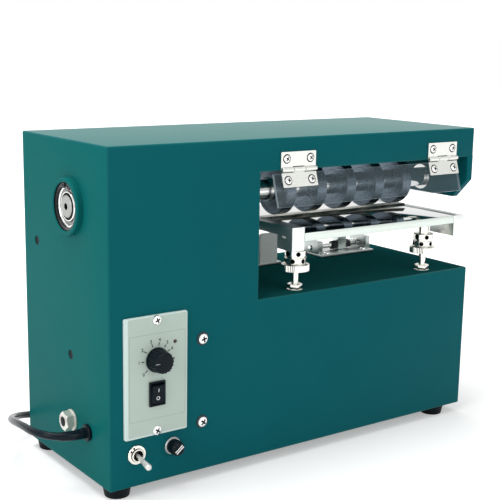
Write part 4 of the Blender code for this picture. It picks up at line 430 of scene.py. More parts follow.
BLACK = finish_of("black_moulding", (0.004, 0.009, 0.013), 0.24, grain=(1500, 1500, 1500), tint=0.15,
                  spread=0.05, Specular_IOR_Level=0.10)
PANEL = finish_of("panel_moulding", (0.65, 0.78, 0.74), 0.34, grain=(700, 700, 700), tint=0.02, spread=0.05)
LABEL = finish_of("panel_label", (0.49, 0.59, 0.53), 0.42, grain=(500, 500, 500), tint=0.03, spread=0.05,
                  Specular_IOR_Level=0.3)
INK = finish_of("printed_ink", (0.012, 0.014, 0.018), 0.45, grain=(900, 900, 900), tint=0.2)
FRAME_INK = finish_of("printed_frame", (0.30, 0.35, 0.34), 0.45, grain=(900, 900, 900), tint=0.1)
WHITE_INK = finish_of("white_print", (0.80, 0.82, 0.84), 0.40, grain=(900, 900, 900), tint=0.04)
LAMP = finish_of("lamp_lens", (0.035, 0.004, 0.006), 0.15, grain=(900, 900, 900), tint=0.2, Coat_Weight=0.6)
BELT = finish_of("belt_rubber", (0.016, 0.016, 0.017), 0.70, grain=(600, 600, 600), tint=0.2)
ALLOY = finish_of("cast_alloy", (0.46, 0.47, 0.47), 0.46, 0.9, (350, 350, 350), 0.12, 0.1, 0.4)
UPRIGHT_ZINC = finish_of("upright_zinc", (0.95, 0.97, 0.95), 0.36, 0.0, (400, 400, 400), 0.04, 0.06)
BOLT_ZINC = finish_of("bolt_zinc", (0.74, 0.74, 0.68), 0.32, 0.6, (400, 400, 400), 0.08, 0.06)
MOTOR = finish_of("motor_enamel", (0.014, 0.015, 0.018), 0.40, grain=(500, 500, 500), tint=0.15)
GUARD = finish_of(
    "guard_tinted_clear", (0.12, 0.17, 0.20), 0.10, grain=(120, 120, 120), tint=0.05, spread=0.03,
    relief=0.03, Alpha=0.20, Specular_IOR_Level=0.35,
)
GUARD_EDGE = finish_of(
    "guard_sawn_edge", (0.42, 0.50, 0.54), 0.30, grain=(60, 900, 900), tint=0.05, Alpha=0.60,
)


# Camera, worked out from the housing's edges in the photograph

def place_camera():
    turn, dip, roll = (math.radians(degrees) for degrees in CAMERA_TURN_DIP_ROLL)
    ahead = Vector((math.sin(turn) * math.cos(dip), math.cos(turn) * math.cos(dip), -math.sin(dip)))
    right = Vector((math.cos(turn), -math.sin(turn), 0))
    up = right.cross(ahead)
    right, up = right * math.cos(roll) + up * math.sin(roll), up * math.cos(roll) - right * math.sin(roll)
    lens = bpy.data.cameras.new("photo_camera")
    lens.sensor_width = 36
    lens.lens = CAMERA_LENS
    lens.shift_x, lens.shift_y = CAMERA_SHIFT
    lens.clip_start = 0.05
    lens.clip_end = 30
    camera = set_out("photo_camera", lens)
    stand = TO_ROW @ Vector(CAMERA_STAND)
    camera.matrix_world = Matrix.Translation(stand) @ Matrix((right, up, -ahead)).transposed().to_4x4()
    bpy.context.scene.camera = camera


# Mains cord, with its coil and plug

CORD_ROUTE = (
    (-8.6, 39.1, 53.3), (-15.0, 39.1, 53.3), (-24.5, 41.2, 53.7), (-33.0, 47.0, 54.3), (-39.0, 56.7, 54.5),
    (-41.2, 69.0, 53.8), (-40.2, 87.0, 51.8), (-37.5, 106.0, 48.2), (-33.0, 127.0, 43.0),
    (-25.5, 149.0, 36.8), (-13.5, 169.5, 30.0), (3.5, 186.5, 23.2), (26.0, 197.2, 16.5),
    (52.0, 201.5, 10.0), (80.0, 199.0, 5.2), (108.0, 193.0, 3.8), (140.0, 188.0, 3.8),
    (170.0, 185.9, 3.8), (186.0, 185.5, 3.8), (193.0, 185.55, 3.8),
)


def coil_points():
    """Three turns inwards on the floor, half a turn up, and three turns outwards on top."""
    points = []
    for step in range(1, 105):
        turns = step / 16
        lift = min(max((turns - 3) / 0.5, 0), 1)
        radius = 50.45 - 7.65 * turns if turns < 3.5 else 23.675 + 7.65 * (turns - 3.5)
        angle = math.tau * turns - math.pi / 2
        points.append((
            200 + radius * math.cos(angle), 236 + radius * math.sin(angle),
            3.8 + 7.45 * lift * lift * (3 - 2 * lift),
        ))
    return [*points, (183.0, 282.63, 11.0), (166.0, 282.63, 10.6), (150.0, 282.63, 10.3)]


def make_cord():
    route = [TO_ROW @ Vector(point) for point in (*CORD_ROUTE, *coil_points())]
    curve = bpy.data.curves.new("mains_lead", "CURVE")
    curve.dimensions = "3D"
    curve.bevel_depth = 0.0035
    curve.bevel_resolution = 5
    curve.resolution_u = 6
    curve.use_fill_caps = True
    spline = curve.splines.new("BEZIER")
    spline.bezier_points.add(len(route) - 1)
    ends = [route[0] * 2 - route[1], *route, route[-1] * 2 - route[-2]]
    for knot, before, here, after in zip(spline.bezier_points, ends, ends[1:], ends[2:]):
        knot.co = here
        knot.handle_left = here - (after - before) / 6
        knot.handle_right = here + (after - before) / 6
    lead = set_out("mains_lead", curve)
    curve.materials.append(CORD)
    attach(lead, "housing")
    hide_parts("mains_cord", "cord_coil")

    sleeve_path = [(-3.6, 39.1, 53.3), (-8.6, 39.1, 53.3), (-12.0, 39.1, 53.3), (-15.0, 39.12, 53.32)]
    sleeve_path += [(-18.2, 39.55, 53.42), (-21.5, 40.3, 53.56), (-24.5, 41.2, 53.7), (-27.0, 42.4, 53.9)]
    sleeve = wire(sleeve_path, 1, (5.0, 4.75, 4.6, 4.45, 4.3, 4.15, 4.0, 3.75), sides=8)
    relief = settle("cord_strain_relief", sleeve, CORD, "cord_rubber", "housing")

    body = softened(block((97.7, 270.6, 0.4), (133.7, 294.6, 20.2)), 5, 6)
    for vert in body.verts:
        near = (vert.co.x - 97.7) / 36
        vert.co.y = 282.6 + (vert.co.y - 282.6) * (1 - 0.22 * near * near)
    ribs = [ring(5.6 - 0.5 * n, 3.6, 3.2 * n, 3.2 * n + 1.9, (134, 282.63, 10.3), "right", 32)
            for n in range(5)]
    cone = turned([(0, 16), (3.9, 16), (5.2, 0), (0, 0)], (133.4, 282.63, 10.3), "right", 32)
    grip = softened(block((104, 271.6, 5.8), (124, 293.6, 14.8)), 1.2, 2)
    plug = settle("plug_moulding", merged(body, cone, grip, *ribs), CORD, "cord_rubber", "housing",
                  "mains_plug")
    pins = [
        turned([(0, 19), (1.3, 19), (2.2, 17.6), (2.4, 16.6), (2.4, -2), (0, -2)],
               (97.7, y, 10.3), "left", 28)
        for y in (273.1, 292.1)
    ]
    pin_piece = settle("plug_pins", merged(*pins), SHAFT_STEEL, "bright_steel", "housing")

    band = rectangle((217, 0.02), (255.6, 15.6), 5)
    inner = rectangle((217.9, 0.8), (254.7, 14.8), 4.4)
    strap = carved(plate(band, 232.5, 239.5), plate(inner, 230, 242))
    tie = settle("cord_tie", strap, BLACK, "cord_rubber", "housing", edge=0.2)


# Housing

def housing_outline(inset):
    """The housing's shape from the front, with its throat, drawn a little inside itself."""
    left, right, low, high = inset, BODY_WIDTH - inset, BODY_FOOT + inset, BODY_TOP - inset
    return [
        (left, low), (right, low), (right, SHELF - inset), (TOWER_RIGHT - inset, SHELF - inset),
        (TOWER_RIGHT - inset, BEAM + inset), (right, BEAM + inset), (right, high), (left, high),
    ]


def make_housing():
    fold, top, side, shelf, hole_shade = range(1, 6)
    shell = softened(
        plate(housing_outline(0), 0, BODY_DEPTH), 1.5, 4,
        lambda edge: not all(vert.co.y > BODY_DEPTH - 0.1 for vert in edge.verts),
    )
    y, z = ARBOR
    holes = [
        rod(24.5, -2, 6, (0, y, z), "right"), rod(10.6, 150, 160, (0, y, z), "right"),
        *(rod(SIDE_HOLE_RADIUS, -2, 6, (0, *spot), "right", 32) for spot in SIDE_HOLES),
        rod(4.3, -2, 6, (0, *SIDE_BOLT), "right", 24), rod(6.2, -2, 6, (0, *CORD_EXIT), "right", 24),
        *(rod(6.2, -6, 2, (x, 0, height), "front", 24) for x, height in (TOGGLE, FUSE)),
        block((17.9, -2, 64.1), (72.5, 6, 154.7)),
        *(rod(2.7, -6, 2, (x, 0, height), "front", 24) for x, height in MOUNT_SCREWS),
    ]
    shell = carved(shell, plate(housing_outline(SHEET), SHEET, 170), *holes)
    flat = 0.985
    # The folds, the top and the left side take the lit tints of the paint, and the shelf its shaded tint
    marked(shell, fold, lambda face: max(abs(part) for part in face.normal) < flat and middle(face).y < 163)
    marked(shell, top, lambda face: face.normal.z > flat and middle(face).z > BODY_TOP - 1)
    marked(shell, side, lambda face: face.normal.x < -flat and middle(face).x < 1)
    marked(shell, shelf, lambda face: face.normal.z > flat and abs(middle(face).z - SHELF) < 1)
    # The walls of the two side holes take painted shade
    marked(shell, hole_shade, lambda face: middle(face).x < 2.4 and abs(face.normal.x) < 0.1 and any(
        apart(face, y=y, z=z) < 5 for y, z in SIDE_HOLES))
    settle(
        "housing_shell", shell, (TEAL, TEAL_FOLD_LIT, TEAL_TOP_LIT, TEAL_SIDE_LIT, TEAL_SHELF_SHADED, PAINTED_SHADE), "teal_paint",
        "housing", "front_sheet", "top_sheet", "left_side_plate", "shelf_sheet", "beam_floor",
        "tower_inner_wall", "base_tray",
    )
    # Dark plugs just below the surface are painted shade inside the two holes, so that they look deep
    shade_plugs = [rod(SIDE_HOLE_RADIUS - 0.02, 0.5, 4.2, (0, *spot), "right", 32) for spot in SIDE_HOLES]
    settle("side_hole_shade_plugs", merged(*shade_plugs), RUBBER, "foot_rubber", "housing", edge=0.2)

    end = [(0, BEAM + 1.5), (0, 256), (19, 236), (145, 236), (164, 256), (164, BEAM + 1.5)]
    cheek = softened(plate(end, 424, 432, "side"), 0.8, 3, lambda edge: any(v.co.z < BEAM for v in edge.verts)
                     and not all(v.co.z > BEAM for v in edge.verts))
    cheek = carved(cheek, rod(13.8, 420, 436, (0, y, z), "right"))
    settle("beam_cheek", cheek, TEAL, "teal_paint", "housing", "beam_end_plate")

    slots = [
        plate(rectangle((200, 60 + 10 * row), (240, 64 + 10 * row), 1.99), 150, 170) for row in range(7)
    ]
    cover = carved(plate(housing_outline(SHEET + COVER_GAP), 161.5, 163.8), *slots)
    settle("rear_cover_sheet", cover, TEAL, "teal_paint", "housing", "rear_cover", edge=0.3)
    spots = [(10.5, 18), (220, 18), (424, 18), (424, 151.2), (10.5, 299.2), (220, 299.2), (416, 299.2)]
    heads = repeated(pan_screw(3.8, 2.1), [at(x, 163.7, z, "back", 31 * n) for n, (x, z) in enumerate(spots)])
    settle("rear_cover_screws", heads, (SCREW_STEEL, PAINTED_SHADE), "zinc_steel", "housing")

    number = 0
    for x in (15, 405):
        for y in (15, 149):
            number += 1
            foot = turned([
                (0, 9.7), (13, 9.7), (13, 8.6), (12.4, 7.4), (11.2, 0.5), (10.7, 0), (5, 0), (4, 0.6),
                (4, 4), (0, 4),
            ], (x, y, 0), steps=48)
            settle(f"foot_{number}", foot, RUBBER, "foot_rubber", "housing", f"rubber_foot_{number}",
                   edge=0.2)


def make_left_bearing():
    y, z = ARBOR
    centre = (0, y, z)
    boss = turned([
        (25.5, 12), (25.5, -4.9), (24.4, -6), (22.2, -6), (21.3, -5.2), (21.3, 9.8), (17, 9.8), (17, 12),
        (25.5, 12),
    ], centre, "right", 96)
    # The boss takes the left side's lit tint, and the wall of its bore takes painted shade
    marked(boss, 1, lambda face: apart(face, y=y, z=z) < 21.6)
    settle("bearing_boss_ring", boss, (TEAL_SIDE_LIT, PAINTED_SHADE), "teal_paint", "housing", "bearing_boss",
           edge=0.3)
    outer = turned([
        (21, 9.5), (21, -2.5), (17.0, -2.5), (16.2, -1.7), (16.2, 9.5), (21, 9.5),
    ], centre, "right", 96)
    shield = turned([
        (16.3, -0.7), (15.8, -1.4), (15.0, -1.6), (14.5, -1.2), (13.8, -1.2), (13.8, -0.5), (16.3, -0.5),
        (16.3, -0.7),
    ], centre, "right", 96)
    settle("bearing_outer", merged(marked(shield, 1, lambda face: True), outer), (RACE_STEEL, SHIELD_GREY),
           "bearing_steel", "housing", "bearing_left_outer_race", edge=0.15)
    inner = turned([
        (13.3, 9.5), (13.3, -1.9), (12.9, -2.5), (12.0, -2.5), (11.5, -1.4), (10.3, -1.4), (10.3, 9.5),
        (13.3, 9.5),
    ], centre, "right", 96)
    # The race's inner side and bore edge take painted shade
    marked(inner, 1, lambda face: middle(face).x < -1.3 and apart(face, y=y, z=z) < 11.9)
    settle("bearing_inner", inner, (RACE_STEEL, PAINTED_SHADE), "bearing_steel", "arbor",
           "bearing_left_inner_race", edge=0.15)

    gap, ear = 8, 14
    clip = arc((0, 0), 21, 90 + gap, 450 - gap, 60)
    clip += arc((0, 0), 16.4, 450 - gap, 450 - gap - ear, 5)
    clip += arc((0, 0), 18.8, 450 - gap - ear, 90 + gap + ear, 54)
    clip += arc((0, 0), 16.4, 90 + gap + ear, 90 + gap, 5)
    ears = [
        rod(1.0, -6, 2, (0, *round_spot((y, z), 18.7, degrees)), "right", 20)
        for degrees in (90 - gap - ear / 2, 90 + gap + ear / 2)
    ]
    clip = carved(placed(plate(clip, -4.2, -2.8, "side"), Matrix.Translation(centre)), *ears)
    settle("snap_ring", clip, DARK_STEEL, "dark_steel", "housing", "bearing_circlip", edge=0.15)

    right = turned([
        (13.5, 424.3), (13.5, 430.9), (12.7, 431.7), (11.6, 431.7), (11.2, 431.2), (9.4, 431.2), (9.0, 431.7),
        (7.1, 431.7), (6.6, 431.2), (6.6, 424.3), (13.5, 424.3),
    ], centre, "right", 72)
    settle("bearing_right_ring", right, RACE_STEEL, "bearing_steel", "housing", "bearing_right", edge=0.1)


def make_arbor():
    y, z = ARBOR
    centre = (0, y, z)
    shaft = turned([
        (0, 432.6), (5.2, 432.6), (6, 431.8), (6, 424), (10, 424), (10, 215.4), (12.2, 215.4), (12.2, 214.0),
        (10, 214.0), (10, -3.2), (9.2, -4), (3.0, -4), (2.6, -3.4), (2.6, 1.5), (0, 3.5),
    ], centre, "right", 72)
    marked(shaft, 1, lambda face: middle(face).x < -3.1)
    # The centre hole takes painted shade
    marked(shaft, 2, lambda face: -3.9 < middle(face).x < 4 and apart(face, y=y, z=z) < 4)
    settle("arbor_shaft", shaft, (SHAFT_STEEL, SHAFT_FACE, PAINTED_SHADE), "bright_steel", "arbor",
           "feed_shaft", edge=0.15)
    for number in range(DISC_COUNT):
        x = FIRST_DISC + DISC_STEP * number
        side = [(25.5, 5.2), (24.7, 6.0), (22.0, 6.0), (21.6, 5.6), (15.0, 5.6), (14.6, 6.0), (10.3, 6.0)]
        disc = turned([
            *((radius, x - way) for radius, way in side),
            *((radius, x + way) for radius, way in reversed(side)),
            (side[0][0], x - side[0][1]),
        ], centre, "right", 96)
        settle(f"disc_{number + 1}", disc, DISC_BLACK, "disc_black", "arbor", f"feed_disc_{number + 1}")


# Table on its jack screws and pivots

def make_table():
    left, right = TABLE_SPAN
    top = softened(block((left, -10, TABLE_UNDER), (right, 146, TABLE_TOP)), 0.5, 3)
    marked(top, 1, lambda face: face.normal.z < 0.9)
    lugs = [
        marked(softened(block((x, 131, 165.3), (x + 12, 141, TABLE_UNDER + 1)), 0.5), 1, lambda face: True)
        for x in (222.5, 364.0)
    ]
    settle("table_slab", merged(top, *lugs), (MIRROR, TABLE_EDGE), "table_steel", "table", "table_plate")

    def arm(name, node, x, top, block_height, block_depth, slot=False):
        outline = [
            (-10, top - block_height), (-10 + block_depth, top - block_height),
            (-10 + block_depth, top - 9.5), (146, top - 9.5), (146, top), (-10, top),
        ]
        form = softened(plate(outline, x, x + 14.5, "side"), 0.5, 3)
        if slot:
            form = carved(form, block((x - 1, 0, top - 11.3), (x + 3, 6, top - 9.5)))
        settle(name, form, ARM_STEEL, "table_steel", "table", node)

    arm("table_arm_left_bar", "table_arm_left", 186, 227.7, 22.5, 23.5, True)
    arm("table_arm_right_bar", "table_arm_right", 398, TABLE_TOP, 21.5, 34)
    blade = plate([(61, 222), (75, 222), (75, 225), (63.2, 225)], left + 0.2, right - 0.2, "side")
    settle("blade_strip", blade, BLADE, "blade_steel", "table", "skiving_blade", edge=0.12)


def make_jack(side, x):
    y = JACK_BACK
    collar = turned([
        (0, 218.7), (3.5, 218.7), (3.5, 212.3), (6, 212.3), (6, 201.5), (9.4, 201.5), (10.5, 200.4),
        (10.5, 195.6), (9.7, 194.9), (9.7, 194.1), (10.5, 193.4), (10.5, 188.6), (9.9, 187.4), (0, 187.4),
    ], (x, y, 0), steps=64)
    holes = [
        placed(rod(2.3, 5.5, 14, steps=24), Matrix.Translation((x, y, height))
               @ Matrix.Rotation(math.radians(turn), 4, "Z") @ HEADINGS["right"])
        for height, turns in ((197.9, range(7, 367, 60)), (190.9, range(37, 397, 60))) for turn in turns
    ]
    # The walls of the cross holes take painted shade
    collar = marked(carved(collar, *holes), 1,
                    lambda face: apart(face, x=x, y=y) < 9.6 and 187.5 < middle(face).z < 201.4)
    teeth = [round_spot((x, y), 13.5 if step % 2 else 13.1, 360 * step / 96) for step in range(96)]
    wheel = plate(teeth, 181, 187, "above")
    rims = [
        turned([(0, 188.0), (11.4, 188.0), (12.7, 187.0), (12.7, 186.2), (0, 186.2)], (x, y, 0), steps=64),
        turned([(0, 181.8), (12.7, 181.8), (12.7, 181.1), (11.8, 180.6), (0, 180.6)], (x, y, 0), steps=64),
    ]
    shank = turned([(0, 181), (3.5, 181), (3.5, 167), (0, 167)], (x, y, 0), steps=48)
    foot = softened(hexagon(13, 162.3, 167.8, (x, y, 0), turn=17), 0.5, 2)
    washer = ring(7.6, 3.6, 162.02, 162.5, (x, y, 0), steps=48)
    settle(
        f"jack_{side}_screw", merged(collar, wheel, *rims, shank, foot, washer), (ZINC, PAINTED_SHADE),
        "zinc_steel", f"jack_{side}", f"jack_screw_{side}", edge=0.12,
    )


def make_pivot(side, left, lug, facing):
    """A bracket on the shelf, with its rod, two nuts and a spring."""
    y, z = PIVOT_AXIS
    right = left + 77
    base = softened(block((left, 116, 162.3), (right, 156, 164.8)), 0.5)
    ears = [
        carved(
            softened(block((x, 122, 163.5), (x + 6.5, 150, 178.8)), 0.6),
            rod(3.1, -1, 8, (x, y, z), "right", 32),
        )
        for x in (left + 0.5, right - 7)
    ]
    spots = (
        (left + 12, 121.5, 12), (right - 12, 121.5, 47), (left + 12, 150.5, 70), (right - 12, 150.5, 5),
    )
    heads = [placed(pan_screw(3.6, 2.0), at(x, way, 164.8, "up", turn)) for x, way, turn in spots]
    settle(f"pivot_{side}_bracket", merged(base, *ears), BRACKET_ZINC, "zinc_steel", "housing",
           f"pivot_bracket_{side}")
    settle(f"pivot_{side}_bracket_screws", merged(*heads), (SCREW_STEEL, PAINTED_SHADE), "zinc_steel",
           "housing")
    if facing < 0:
        face = [(right - 28.0, 163.5), (right - 5.3, 163.5), *arc((right - 8.3, 193.8), 3, 0, 90, 5),
                *arc((right - 25.0, 193.8), 3, 90, 180, 5)]
        upright = softened(plate(face, 116.5, 119.5), 0.5)
        settle("pivot_upright", upright, UPRIGHT_ZINC, "zinc_steel", "housing")
    bar = turned([(0, 39.5), (2.2, 39.5), (2.8, 38.9), (2.8, -38.9), (2.2, -39.5), (0, -39.5)],
                 ((left + right) / 2, y, z), "right", 40)
    settle(f"pivot_{side}_bar", bar, SHAFT_STEEL, "bright_steel", "housing", f"pivot_rod_{side}")
    nuts = [
        carved(softened(hexagon(9, -3, 3, (x, y, z), "right", 8), 0.4),
               rod(2.85, -5, 5, (x, y, z), "right", 32))
        for x in (lug - 3.6, lug + 15.6)
    ]
    settle(f"pivot_{side}_nuts", merged(*nuts), DARK_STEEL, "dark_steel", "housing")
    start, stop = (lug + 18.7, right - 8.0) if facing > 0 else (lug - 6.7, left + 8.0)
    coils, around = 5, 28
    whole = coils * around
    points = [
        (start + (stop - start) * step / whole, *round_spot((y, z), 4.0, 360 * step / around))
        for step in range(whole + 1)
    ]
    settle(f"pivot_{side}_spring", wire(points, 0.6), SHAFT_STEEL, "bright_steel", "housing")


# Guard and its hinges

def swing():
    """From the guard drawn closed to its place at rest."""
    axis = Matrix.Translation((0, *HINGE_AXIS))
    return axis @ Matrix.Rotation(math.radians(GUARD_REST_DEGREES), 4, "X") @ axis.inverted()


def make_hinges():
    y, z = HINGE_AXIS
    for side, left in zip(("left", "right"), HINGE_LEFTS):
        low, high = left + 13.5, left + 27
        right, corner = left + LEAF_WIDTH, 0.5
        for name, sign, body in (("upper", 1, "housing"), ("lower", -1, "guard")):
            if sign > 0:
                outline = [
                    (left, z + LEAF_HEIGHT - corner), (left, z + 0.4), (low, z + 0.4), (low, z + 2.8),
                    (high, z + 2.8), (high, z + 0.4), (right, z + 0.4), (right, z + LEAF_HEIGHT - corner),
                    (right - corner, z + LEAF_HEIGHT), (left + corner, z + LEAF_HEIGHT),
                ]
                barrels = [(left + 0.2, low - 0.3), (high + 0.3, left + 40.3)]
            else:
                outline = [
                    (left, z - LEAF_HEIGHT + corner), (left + corner, z - LEAF_HEIGHT),
                    (right - corner, z - LEAF_HEIGHT), (right, z - LEAF_HEIGHT + corner), (right, z - 2.8),
                    (high - 0.3, z - 2.8), (high - 0.3, z - 0.4), (low + 0.3, z - 0.4), (low + 0.3, z - 2.8),
                    (left, z - 2.8),
                ]
                barrels = [(low + 0.5, high - 0.5)]
            leaf = plate(outline, -1.8, -0.3)
            screw_z = z + sign * LEAF_SCREW_DROP
            screw_xs = [left + inset for inset in LEAF_SCREWS]
            sinks = [
                turned([(0, 3), (4.4, 3), (4.4, 1.7), (3.6, 0.9), (0, 0.9)], (x, 0, screw_z), "front", 40)
                for x in screw_xs
            ]
            # The countersinks around the screw heads take painted shade
            leaf = marked(carved(leaf, *sinks), 1, lambda face: (
                face.normal.y > -0.99 and any(apart(face, x=x, z=screw_z) < 4.5 for x in screw_xs)
                or -1.7 < middle(face).y < -0.5 and face.normal.y < -0.9
            ))
            rolls = [
                turned([
                    (0, stop), (1.9, stop), (2.2, stop - 0.3), (2.2, start + 0.3), (1.9, start), (0, start),
                ], (0, y, z), "right", 40)
                for start, stop in barrels
            ]
            if sign > 0:
                rolls.append(rod(1.0, left + 0.1, left + 40.4, (0, y, z), "right", 24))
            heads = [
                placed(pan_screw(3.6, 2.0, 1.4, 4), at(x, -1.3, screw_z, "front", turn))
                for x, turn in zip(screw_xs, (20 + 34 * sign, 61 - 12 * sign))
            ]
            forms = [merged(leaf, *rolls), merged(*heads)]
            if sign < 0:
                forms = [placed(form, swing()) for form in forms]
            settle(f"hinge_{side}_{name}", forms[0], (HINGE_STEEL, PAINTED_SHADE), "bright_steel", body,
                   f"hinge_{side}_{name}_leaf", edge=0.15)
            settle(f"hinge_{side}_{name}_screws", forms[1], (SCREW_STEEL, PAINTED_SHADE), "bright_steel", body)


def make_guard():
    pane = softened(block((169.6, 0, 247.0), (405.9, 3, 278.0)), 0.4, 2)
    marked(pane, 1, lambda face: abs(face.normal.y) < 0.9)
    settle("guard_pane", placed(pane, swing()), (GUARD, GUARD_EDGE), "clear_plastic", "guard", "guard_plate")


# Control panel

def lettered(text, size, x, z, front, thickness=0.06):
    """A numeral or sign, printed on a face that looks to the front."""
    curve = bpy.data.curves.new("numeral", "FONT")
    curve.body = text
    curve.size = size
    curve.align_x = "CENTER"
    curve.align_y = "CENTER"
    curve.extrude = thickness / 2
    curve.offset = 0.025 * size
    curve.resolution_u = 3
    return placed(closed(baked([set_out("numeral", curve)])),
                  Matrix.Translation((x, front, z)) @ HEADINGS["front"])


def panel_holes(x, z):
    """What is cut through the board and its label: the rocker's opening, the knob's and the lamp's holes."""
    return [
        block((x - 7.4, -5, z - 10.6), (x + 7.4, 1, z + 10.6)),
        rod(3.6, -2, 5, (KNOB[0], 0, KNOB[1]), "front"),
        rod(1.8, -2, 5, (LAMP_PLACE[0], 0, LAMP_PLACE[1]), "front", 24),
    ]


def make_panel():
    x, z = ROCKER
    low, high = (13.5, 55.0), (76.9, 163.8)
    board = softened(plate(rectangle(low, high, 1.6), PANEL_FRONT, -0.3), 0.9, 3,
                     lambda edge: abs(edge.verts[0].co.y - edge.verts[1].co.y) < 0.1
                     and edge.verts[0].co.y < -1)
    board = carved(board, *panel_holes(x, z))
    settle("panel_board", board, PANEL, "panel_plastic", "housing", "control_panel")
    face = PANEL_FRONT
    sheet = carved(
        plate(rectangle((16.9, 56.9), (75.8, 162.8), 0.8), face - 0.06, face + 0.1), *panel_holes(x, z),
    )
    settle("panel_label_sheet", sheet, LABEL, "panel_plastic", "housing")
    frame_line = carved(
        plate(rectangle((17.9, 70.6), (74.4, 147.6), 0.6), face - 0.10, face - 0.03),
        plate(rectangle((18.2, 70.9), (74.1, 147.3), 0.5), face - 1, face + 1),
    )
    settle("panel_frame_line", frame_line, FRAME_INK, "panel_plastic", "housing")

    marks = []
    for number, degrees in enumerate(DIAL_DEGREES):
        turn = Matrix.Translation((KNOB[0], 0, KNOB[1])) @ Matrix.Rotation(-math.radians(degrees), 4, "Y")
        marks.append(placed(block((12.4, face - 0.12, -0.45), (15.4, face - 0.03, 0.45)), turn))
        marks.append(lettered(str(number), 4.2, *round_spot(KNOB, 17.6, degrees), face - 0.08))
    settle("dial_marks", merged(*marks), INK, "black_plastic", "housing")

    heads = repeated(pan_screw(4.4, 2.3, 1.8, 8),
                     [at(45.2, face, 159.4, "front", 24), at(45.2, face, 59.4, "front", 58)])
    settle("panel_screws", heads, (SCREW_STEEL, PAINTED_SHADE), "zinc_steel", "housing")

    surround = plate(rectangle((x - 8, z - 11.2), (x + 8, z + 11.2), 0.7), -5.1, -3.25)
    sleeve = plate(rectangle((x - 7.1, z - 10.3), (x + 7.1, z + 10.3)), -3.4, 3)
    rims = [
        carved(form, plate(rectangle((x - 6.4, z - 9.6), (x + 6.4, z + 9.6)), -8, 6))
        for form in (surround, sleeve)
    ]
    settle("rocker_surround", merged(*rims), BLACK, "black_plastic", "housing", "rocker_frame", edge=0.3)
    well = softened(block((x - 6.3, -1.3, z - 9.5), (x + 6.3, 2.6, z + 9.5)), 0.2, 1)
    settle("rocker_well", well, BLACK, "black_plastic", "housing")

    tilt = Matrix.Translation((x, -4.2, z)) @ Matrix.Rotation(math.radians(8), 4, "X")
    crown = [(1.2, -8.4), (1.2, 8.4), (-2.6, 8.4)]
    crown += [(-1.8 - 0.8 * (step / 6) ** 2, 8.4 * step / 6) for step in (5, 4, 3, 2, 1, 0)]
    crown += [(-1.8 - 0.8 * (step / 6) ** 2, -8.4 * step / 6) for step in (1, 2, 3, 4, 5, 6)]
    key = plate(crown, -6.1, 6.1, "side")
    settle("rocker_key", placed(key, tilt), BLACK, "black_plastic", "rocker", "rocker_button", edge=0.35)
    stroke = placed(block((-0.3, -0.12, -1.7), (0.3, 0.25, 1.7)),
                    Matrix.Translation((0, -1.98, 3.9)) @ Matrix.Rotation(math.radians(5.1), 4, "X"))
    circle = placed(ring(1.75, 1.15, -0.25, 0.12, heading="front", steps=40),
                    Matrix.Translation((0, -1.95, -3.6)) @ Matrix.Rotation(math.radians(-4.7), 4, "X"))
    settle("rocker_signs", placed(merged(stroke, circle), tilt), WHITE_INK, "black_plastic", "rocker")

    lens = turned([(0, 1.2), (0.8, 1.1), (1.3, 0.7), (1.5, 0), (1.5, -5), (0, -5)],
                  (LAMP_PLACE[0], face, LAMP_PLACE[1]), "front", 32)
    settle("lamp_lens", lens, LAMP, "lamp_red", "housing", "status_led")


def make_knob():
    x, z = KNOB
    front = PANEL_FRONT - 0.6
    body = plate(fluted(10.75, 0.45, 18, 144), 0, 12.5, "above")
    for vert in body.verts:
        if vert.co.z > 1:
            vert.co.x *= 0.86
            vert.co.y *= 0.86
    cap = turned([(0, 13.0), (7.2, 12.9), (8.4, 12.4), (8.8, 11.6), (0, 11.6)], steps=64)
    skirt = turned([(0, 1.6), (11.2, 1.6), (11.2, 0.3), (10.9, 0), (3, 0), (3, -7), (0, -7)], steps=72)
    knob = placed(merged(body, cap, skirt), at(x, front, z, "front"))
    settle("knob_moulding", knob, BLACK, "black_plastic", "speed_knob", "speed_knob", edge=0.25)
    pointer = softened(block((-8.7, -0.35, 12.2), (-4.6, 0.35, 12.98)), 0.12, 2)
    settle("knob_pointer", placed(pointer, at(x, front, z, "front")), FRAME_INK, "black_plastic",
           "speed_knob")


